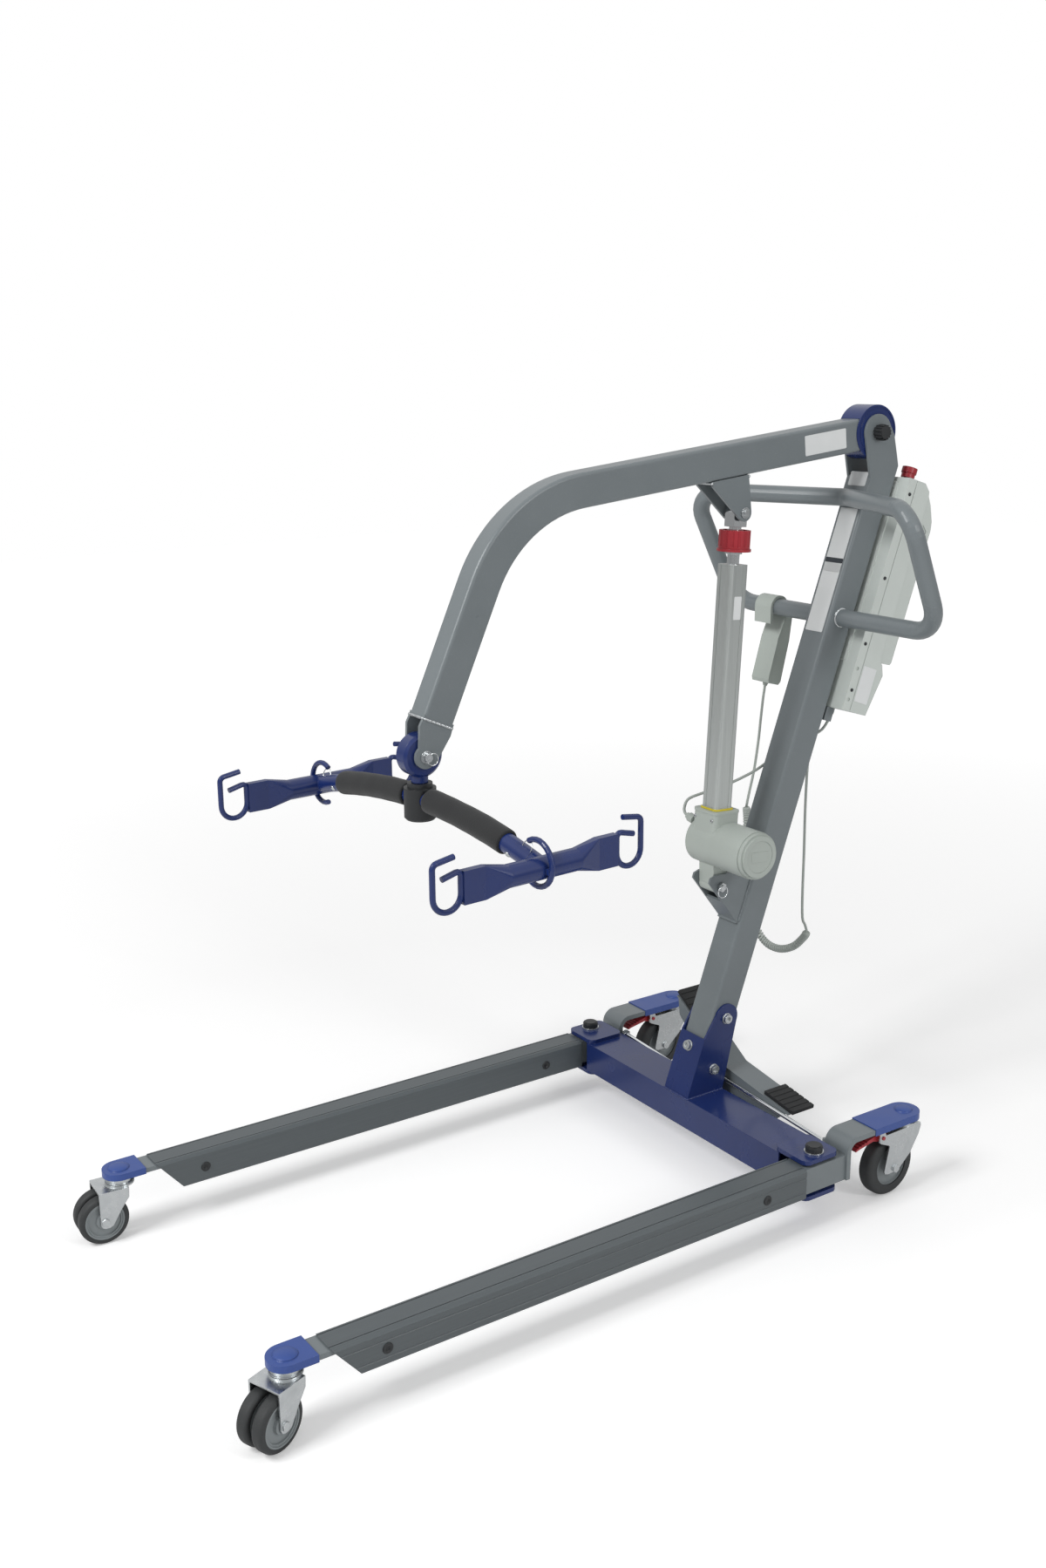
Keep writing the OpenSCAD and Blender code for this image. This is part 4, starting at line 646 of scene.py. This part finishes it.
ACROSS = turned(90, "Y")
RIVET = [(NEAR_AXIS, -1), (4.4, -1), (4.4, 0.4), (3.4, 1.6), (NEAR_AXIS, 2.1)]
wire_ring("hanger_pin_ring", 8.5, 0.8, BOOM_END @ at(27.0, -249.8, -7) @ ACROSS, "boom")
wire_ring("lower_pin_ring", 9.5, 0.9, LIFT @ at(30.2, 30, 455) @ ACROSS, "actuator")
for side, s in SIDES:
    wire_ring(f"arm_pin_ring_{side}", 9.5, 0.8, CRADLE @ at(s * 246, -3, 677) @ turned(70, "X"),
              "cradle")
    lathe(f"arm_rivet_{side}", RIVET, CRADLE @ at(s * 216, -11.6, 662.4) @ turned(120, "X"), "cradle",
          "zinc", around=28)

# %% [markdown]
# The boom's pivot bolt ends in a black cap nut on each side. Its grip ribs are one shape repeated round
# a circle, so a tree makes it: a slightly conical body, and a rib set on each point of a ring.

# %% Cap nuts of the boom pivot
def times(tree, socket, factor):
    """A socket's value multiplied by a factor."""
    return add(tree, "ShaderNodeMath", {"operation": "MULTIPLY"}, {0: socket, 1: factor}).outputs[0]


def ribbed_nut_tree(name, finish_name, taper=0.9, rib_half_width=1.5, rib_half_length=0.62,
                    rib_centre=0.42):
    """The ribs' half length and centre are shares of the nut's height."""
    tree, given = new_tree(name, {"Radius": 11.5 * MM, "Height": 15 * MM, "Ribs": 14})
    body = add(tree, "GeometryNodeMeshCone", inputs={
        "Vertices": 48, "Side Segments": 1, "Radius Bottom": given.outputs["Radius"],
        "Radius Top": times(tree, given.outputs["Radius"], taper), "Depth": given.outputs["Height"]})
    ring = add(tree, "GeometryNodeMeshCircle", inputs={
        "Vertices": given.outputs["Ribs"], "Radius": given.outputs["Radius"]})
    rib = add(tree, "GeometryNodeMeshUVSphere", inputs={"Segments": 10, "Rings": 8, "Radius": 1.0})
    size = add(tree, "ShaderNodeCombineXYZ", inputs={
        "X": rib_half_width * MM, "Y": rib_half_width * MM,
        "Z": times(tree, given.outputs["Height"], rib_half_length)})
    ribs = add(tree, "GeometryNodeInstanceOnPoints", inputs={
        "Points": ring.outputs["Mesh"], "Instance": rib.outputs["Mesh"],
        "Scale": size.outputs["Vector"]})
    lift = add(tree, "ShaderNodeCombineXYZ", inputs={
        "Z": times(tree, given.outputs["Height"], rib_centre)})
    raised = add(tree, "GeometryNodeTransform", inputs={
        "Geometry": ribs.outputs["Instances"], "Translation": lift.outputs["Vector"]})
    both = add(tree, "GeometryNodeJoinGeometry", inputs={"Geometry": raised.outputs["Geometry"]})
    tree.links.new(body.outputs["Mesh"], both.inputs["Geometry"])
    real = add(tree, "GeometryNodeRealizeInstances", inputs={"Geometry": both.outputs["Geometry"]})
    dressed = add(tree, "GeometryNodeSetMaterial", inputs={
        "Geometry": real.outputs["Geometry"], "Material": SURFACES[finish_name]})
    add(tree, "NodeGroupOutput", inputs={"Geometry": dressed.outputs["Geometry"]})
    return tree


nut_tree = ribbed_nut_tree("ribbed_nut", "black_plastic")
MAST_SIDE = 27.6
TO_MILLIMETRES = Matrix.Scale(1000, 4)
for side, s in SIDES:
    nut = grown(f"pivot_nut_{side}", nut_tree, [(0, 0, 0)], [], "chassis", "black_plastic")
    nut.data.transform(LIFT @ at(s * MAST_SIDE, *BOOM_PIVOT[1:]) @ turned(s * 90, "Y") @ TO_MILLIMETRES)

# %% [markdown]
# Flat parts with rounded corners, such as blank plates and the yellow seal at the foot of the actuator's
# tube, are thin prisms. Their outline is a rounded rectangle, made from four arcs.

# %% Thin prisms and the seal
def rounded(width, height, radius, steps=6):
    """The outline of a rounded rectangle, counter-clockwise, in millimetres."""
    corners = ((1, 1, 0), (-1, 1, 90), (-1, -1, 180), (1, -1, 270))
    return [(sx * (width / 2 - radius) + radius * math.cos(math.radians(start + 90 * k / steps)),
             sy * (height / 2 - radius) + radius * math.sin(math.radians(start + 90 * k / steps)))
            for sx, sy, start in corners for k in range(steps + 1)]


def prism(name, outline, thickness, matrix, body, finish_name, inner=None):
    """An outline raised by thickness along Z. With inner, a ring between two outlines of equal count."""
    n = len(outline)
    verts = [(x, y, h) for h in (0, thickness) for x, y in outline]
    if inner:
        verts += [(x, y, h) for h in (0, thickness) for x, y in inner]
        faces = []
        for k in range(n):
            m = (k + 1) % n
            faces += [(k, m, n + m, n + k), (2 * n + m, 2 * n + k, 3 * n + k, 3 * n + m),
                      (m, k, 2 * n + k, 2 * n + m), (n + k, n + m, 3 * n + m, 3 * n + k)]
    else:
        faces = [tuple(range(n - 1, -1, -1)), tuple(range(n, 2 * n))]
        faces += [(k, (k + 1) % n, n + (k + 1) % n, n + k) for k in range(n)]
    piece = mesh_piece(name, verts, faces, matrix, body, finish_name, smooth=False)
    return piece


prism("tube_seal", rounded(40.4, 40.4, 7.5), 2.9, ACTUATOR @ at(0, 0, 125.7), "actuator",
      "yellow_seal", inner=rounded(37.7, 37.7, 6.2))

# %% [markdown]
# The plates on the boom, the mast, the control box and the actuator are blank vinyl, a third of a
# millimetre thick. A plate's frame is turned so that Z points out of the face it lies on.

# %% Plates
FRONT_FACE = turned(90, "X")
RIGHT_FACE = turned(90, "Z") @ FRONT_FACE
MAST_FACE = -26.42
VINYL = 0.35
prism("boom_plate", rounded(88, 31, 2), VINYL, BOOM @ at(20.05, -110, 0) @ RIGHT_FACE,
      "boom", "vinyl")
for name, height, z in (("mast_plate_low", 115.2, 955), ("mast_plate_high", 106.2, 1050),
                        ("mast_plate_top", 23.4, 1152)):
    prism(name, rounded(38, height, 2), VINYL, MAST @ at(0, MAST_FACE, z) @ FRONT_FACE,
          "chassis", "vinyl")
prism("mast_plate_band", rounded(38, 8, 1), 0.4, MAST @ at(0, MAST_FACE, 1016) @ FRONT_FACE,
      "chassis", "key_rubber")
prism("box_plate", rounded(31, 60, 2), VINYL, MAST @ at(52.02, 70.5, 836) @ RIGHT_FACE,
      "chassis", "vinyl")
prism("actuator_plate", rounded(15.4, 36, 1.5), 0.3, ACTUATOR @ at(16.72, 0, 448) @ RIGHT_FACE,
      "actuator", "vinyl")

# %% [markdown]
# Small machine screws close the actuator's housing and the control box. They are one shape many times,
# so a tree sets a screw on each point of a guide mesh: a flat head with a thin dark hexagon on its top.
# The hexagon is painted shade, standing in for the head's recessed socket.
# The two finishes are set on the head and the hexagon before they are joined.

# %% Screws
def screw_tree(name, head_finish, socket_shade_finish, head_top=2.6, hexagon_radius=1.3, hexagon_depth=0.2):
    tree, given = new_tree(name, {"Head Radius": 3.1 * MM, "Head Height": 1.4 * MM})
    head = add(tree, "GeometryNodeMeshCone", inputs={
        "Vertices": 24, "Radius Bottom": given.outputs["Head Radius"], "Radius Top": head_top * MM,
        "Depth": given.outputs["Head Height"]})
    metal = add(tree, "GeometryNodeSetMaterial", inputs={
        "Geometry": head.outputs["Mesh"], "Material": SURFACES[head_finish]})
    # painted shade: a thin disc on the head's top, coloured where the recessed hex socket would lie in
    # shade
    hexagon = add(tree, "GeometryNodeMeshCylinder", inputs={
        "Vertices": 6, "Radius": hexagon_radius * MM, "Depth": hexagon_depth * MM})
    up = add(tree, "ShaderNodeCombineXYZ", inputs={"Z": given.outputs["Head Height"]})
    sunk = add(tree, "GeometryNodeTransform", inputs={
        "Geometry": hexagon.outputs["Mesh"], "Translation": up.outputs["Vector"]})
    socket_shade = add(tree, "GeometryNodeSetMaterial", inputs={
        "Geometry": sunk.outputs["Geometry"], "Material": SURFACES[socket_shade_finish]})
    screw = add(tree, "GeometryNodeJoinGeometry", inputs={"Geometry": metal.outputs["Geometry"]})
    tree.links.new(socket_shade.outputs["Geometry"], screw.inputs["Geometry"])
    placed = add(tree, "GeometryNodeInstanceOnPoints", inputs={
        "Points": given.outputs["Geometry"], "Instance": screw.outputs["Geometry"]})
    real = add(tree, "GeometryNodeRealizeInstances", inputs={"Geometry": placed.outputs["Instances"]})
    add(tree, "NodeGroupOutput", inputs={"Geometry": real.outputs["Geometry"]})
    return tree


def screws(name, tree, spots, matrix, body, slot_name):
    """Screws on spots given in millimetres in a flat frame, whose Z is the way the heads face."""
    piece = grown(name, tree, [(x * MM, y * MM, 0) for x, y in spots], [], body, slot_name)
    piece.data.transform(matrix @ TO_MILLIMETRES)
    return piece


BOX_HALF_WIDTH, BOX_SCREW_Y = 51.9, 43
# the black hexagons on the zinc heads are painted shade of their sockets
plated_screws = screw_tree("plated_screws", "zinc", "black_plastic")
dark_screws = screw_tree("dark_screws", "black_plastic", "key_rubber")
screws("housing_screws", plated_screws, [(x, z) for z in (112, 78) for x in (-20, 20)],
       ACTUATOR @ at(0, -26.9, 0) @ FRONT_FACE, "actuator", "zinc")
for side, s in SIDES:
    face = at(s * BOX_HALF_WIDTH, 0, 0) @ turned(s * 90, "Z") @ FRONT_FACE
    spots = [(s * BOX_SCREW_Y, z) for z in (822, 900, 1010, 1150)]
    screws(f"box_screws_{side}", dark_screws, spots, MAST @ face, "chassis", "black_plastic")

# %% [markdown]
# The operator's side has the parts that hands use: a charging socket with three lamps under the battery,
# the battery's latch, and the arrows on the handset's two keys.

# %% Socket, lamps and latch
BACK_FACE = turned(-90, "X")
PANEL = MAST @ at(0, 97.5, 824) @ turned(-100.4, "X")
prism("charge_socket", rounded(30, 15, 5), 1.6, PANEL @ at(-18, 6, -0.6), "chassis",
      "black_plastic", inner=rounded(23, 8.5, 3))
prism("charge_socket_floor", rounded(24, 9, 3), 0.3, PANEL @ at(-18, 6, -0.1), "chassis",
      "key_rubber")
for k, finish_name in enumerate(("yellow_seal", "cap_plastic", "cap_plastic")):
    lathe(f"lamp_{k}", dome(1.9, 1.0, 0.2, 5), PANEL @ at(14 + 9 * k, 6, 0), "chassis",
          finish_name, around=20)
prism("battery_latch", rounded(36, 13, 4), 2.2, MAST @ at(0, 121.3, 1090) @ BACK_FACE,
      "battery", "black_plastic")

# %% Marks of the keys and the motor
HANDSET = LIFT @ at(-139, 293, 857) @ turned(-14.4, "X")
ARROW = [(-3.4, 2.2), (0, -3.2), (3.4, 2.2)]
prism("up_arrow", ARROW[::-1], 0.25, HANDSET @ at(0, 16.38, -62) @ BACK_FACE, "up_key",
      "vinyl")
prism("down_arrow", [(x, -y) for x, y in ARROW], 0.25, HANDSET @ at(0, 16.78, -86) @ BACK_FACE,
      "down_key", "vinyl")
prism("motor_end_plate", rounded(34, 17, 2), VINYL, ACTUATOR @ at(101.95, 4.8, 69) @ RIGHT_FACE,
      "actuator", "pale_plastic")

# %% [markdown]
# A studio sweep of pale floor, one big soft lamp from the upper left and a weaker one from the right. A
# lamp's size against its distance sets how soft its shadow is. The floor glows a little to the camera
# alone, and more with distance, so it runs into the white surround without a visible horizon.

# %% Lamps and floor
LOOK_AT = Vector((0, 0, 0.6))
FLOOR_REACH = 9
GLOW_NEAR, GLOW_FAR = 0.24, 0.62


def lamp(name, place, size, watts):
    light = bpy.data.lights.new(name, "AREA")
    light.size = size
    light.energy = watts
    made = in_scene(name, light)
    made.location = place
    made.rotation_euler = (LOOK_AT - Vector(place)).to_track_quat("-Z", "Y").to_euler()


lamp("key_lamp", (0.2, -3.4, 3.6), 1.6, 120)
lamp("fill_lamp", (3.4, 1.0, 2.2), 1.0, 34)

floor_mesh = bpy.data.meshes.new("floor")
corners = [(x * FLOOR_REACH, y * FLOOR_REACH, 0) for x, y in ((-1, -1), (1, -1), (1, 1), (-1, 1))]
floor_mesh.from_pydata(corners, [], [(0, 1, 2, 3)])
in_scene("floor", floor_mesh)
floor_paint, tree = new_material("pale_floor")
paint = add(tree, "ShaderNodeBsdfPrincipled", inputs={
    "Base Color": linear("F6F6F6"), "Roughness": 0.9, "Specular IOR Level": 0.1})
seen = add(tree, "ShaderNodeLightPath")
spot = add(tree, "ShaderNodeTexCoord")
away = add(tree, "ShaderNodeVectorMath", {"operation": "LENGTH"}, {0: spot.outputs["Object"]})
far = add(tree, "ShaderNodeMapRange", inputs={
    "Value": away.outputs["Value"], "From Min": 1.2, "From Max": 4.5,
    "To Min": GLOW_NEAR, "To Max": GLOW_FAR})
lift = add(tree, "ShaderNodeMath", {"operation": "MULTIPLY"}, {
    0: seen.outputs["Is Camera Ray"], 1: far.outputs["Result"]})
glow = add(tree, "ShaderNodeEmission", inputs={"Strength": lift.outputs[0]})
close(tree, add(tree, "ShaderNodeAddShader", inputs={0: paint.outputs[0], 1: glow.outputs[0]}))
floor_mesh.materials.append(floor_paint)

# %% [markdown]
# An even white surround lights a matt surface to just about its written colour. The camera sees it as
# plain white. Metal and gloss see it darker near the horizon, as in a studio with dark walls below its
# white ceiling, which gives tubes their long soft reflections.

# %% The surround
SURROUND_LIGHT = 0.43
GLOSS_LOW, GLOSS_HIGH = 0.35, 1.0
world = bpy.data.worlds.new("surround")
world.use_nodes = True
tree = world.node_tree
tree.nodes.clear()
ray = add(tree, "ShaderNodeLightPath")
aim = add(tree, "ShaderNodeTexCoord")
height = add(tree, "ShaderNodeSeparateXYZ", inputs={"Vector": aim.outputs["Generated"]})
studio = add(tree, "ShaderNodeMapRange", inputs={
    "Value": height.outputs["Z"], "From Min": 0.02, "From Max": 0.55,
    "To Min": GLOSS_LOW, "To Max": GLOSS_HIGH})
glossy = add(tree, "ShaderNodeMix", {"data_type": "FLOAT"}, {
    "Factor": ray.outputs["Is Glossy Ray"], "A": SURROUND_LIGHT, "B": studio.outputs["Result"]})
level = add(tree, "ShaderNodeMix", {"data_type": "FLOAT"}, {
    "Factor": ray.outputs["Is Camera Ray"], "A": glossy.outputs["Result"], "B": 1.0})
sky = add(tree, "ShaderNodeBackground", inputs={
    "Color": (1, 1, 1, 1), "Strength": level.outputs["Result"]})
add(tree, "ShaderNodeOutputWorld", inputs={"Surface": sky.outputs[0]})
bpy.context.scene.world = world
bpy.context.scene.view_settings.view_transform = "Standard"
print("lamps", len(bpy.data.lights), "and a surround of", SURROUND_LIGHT)
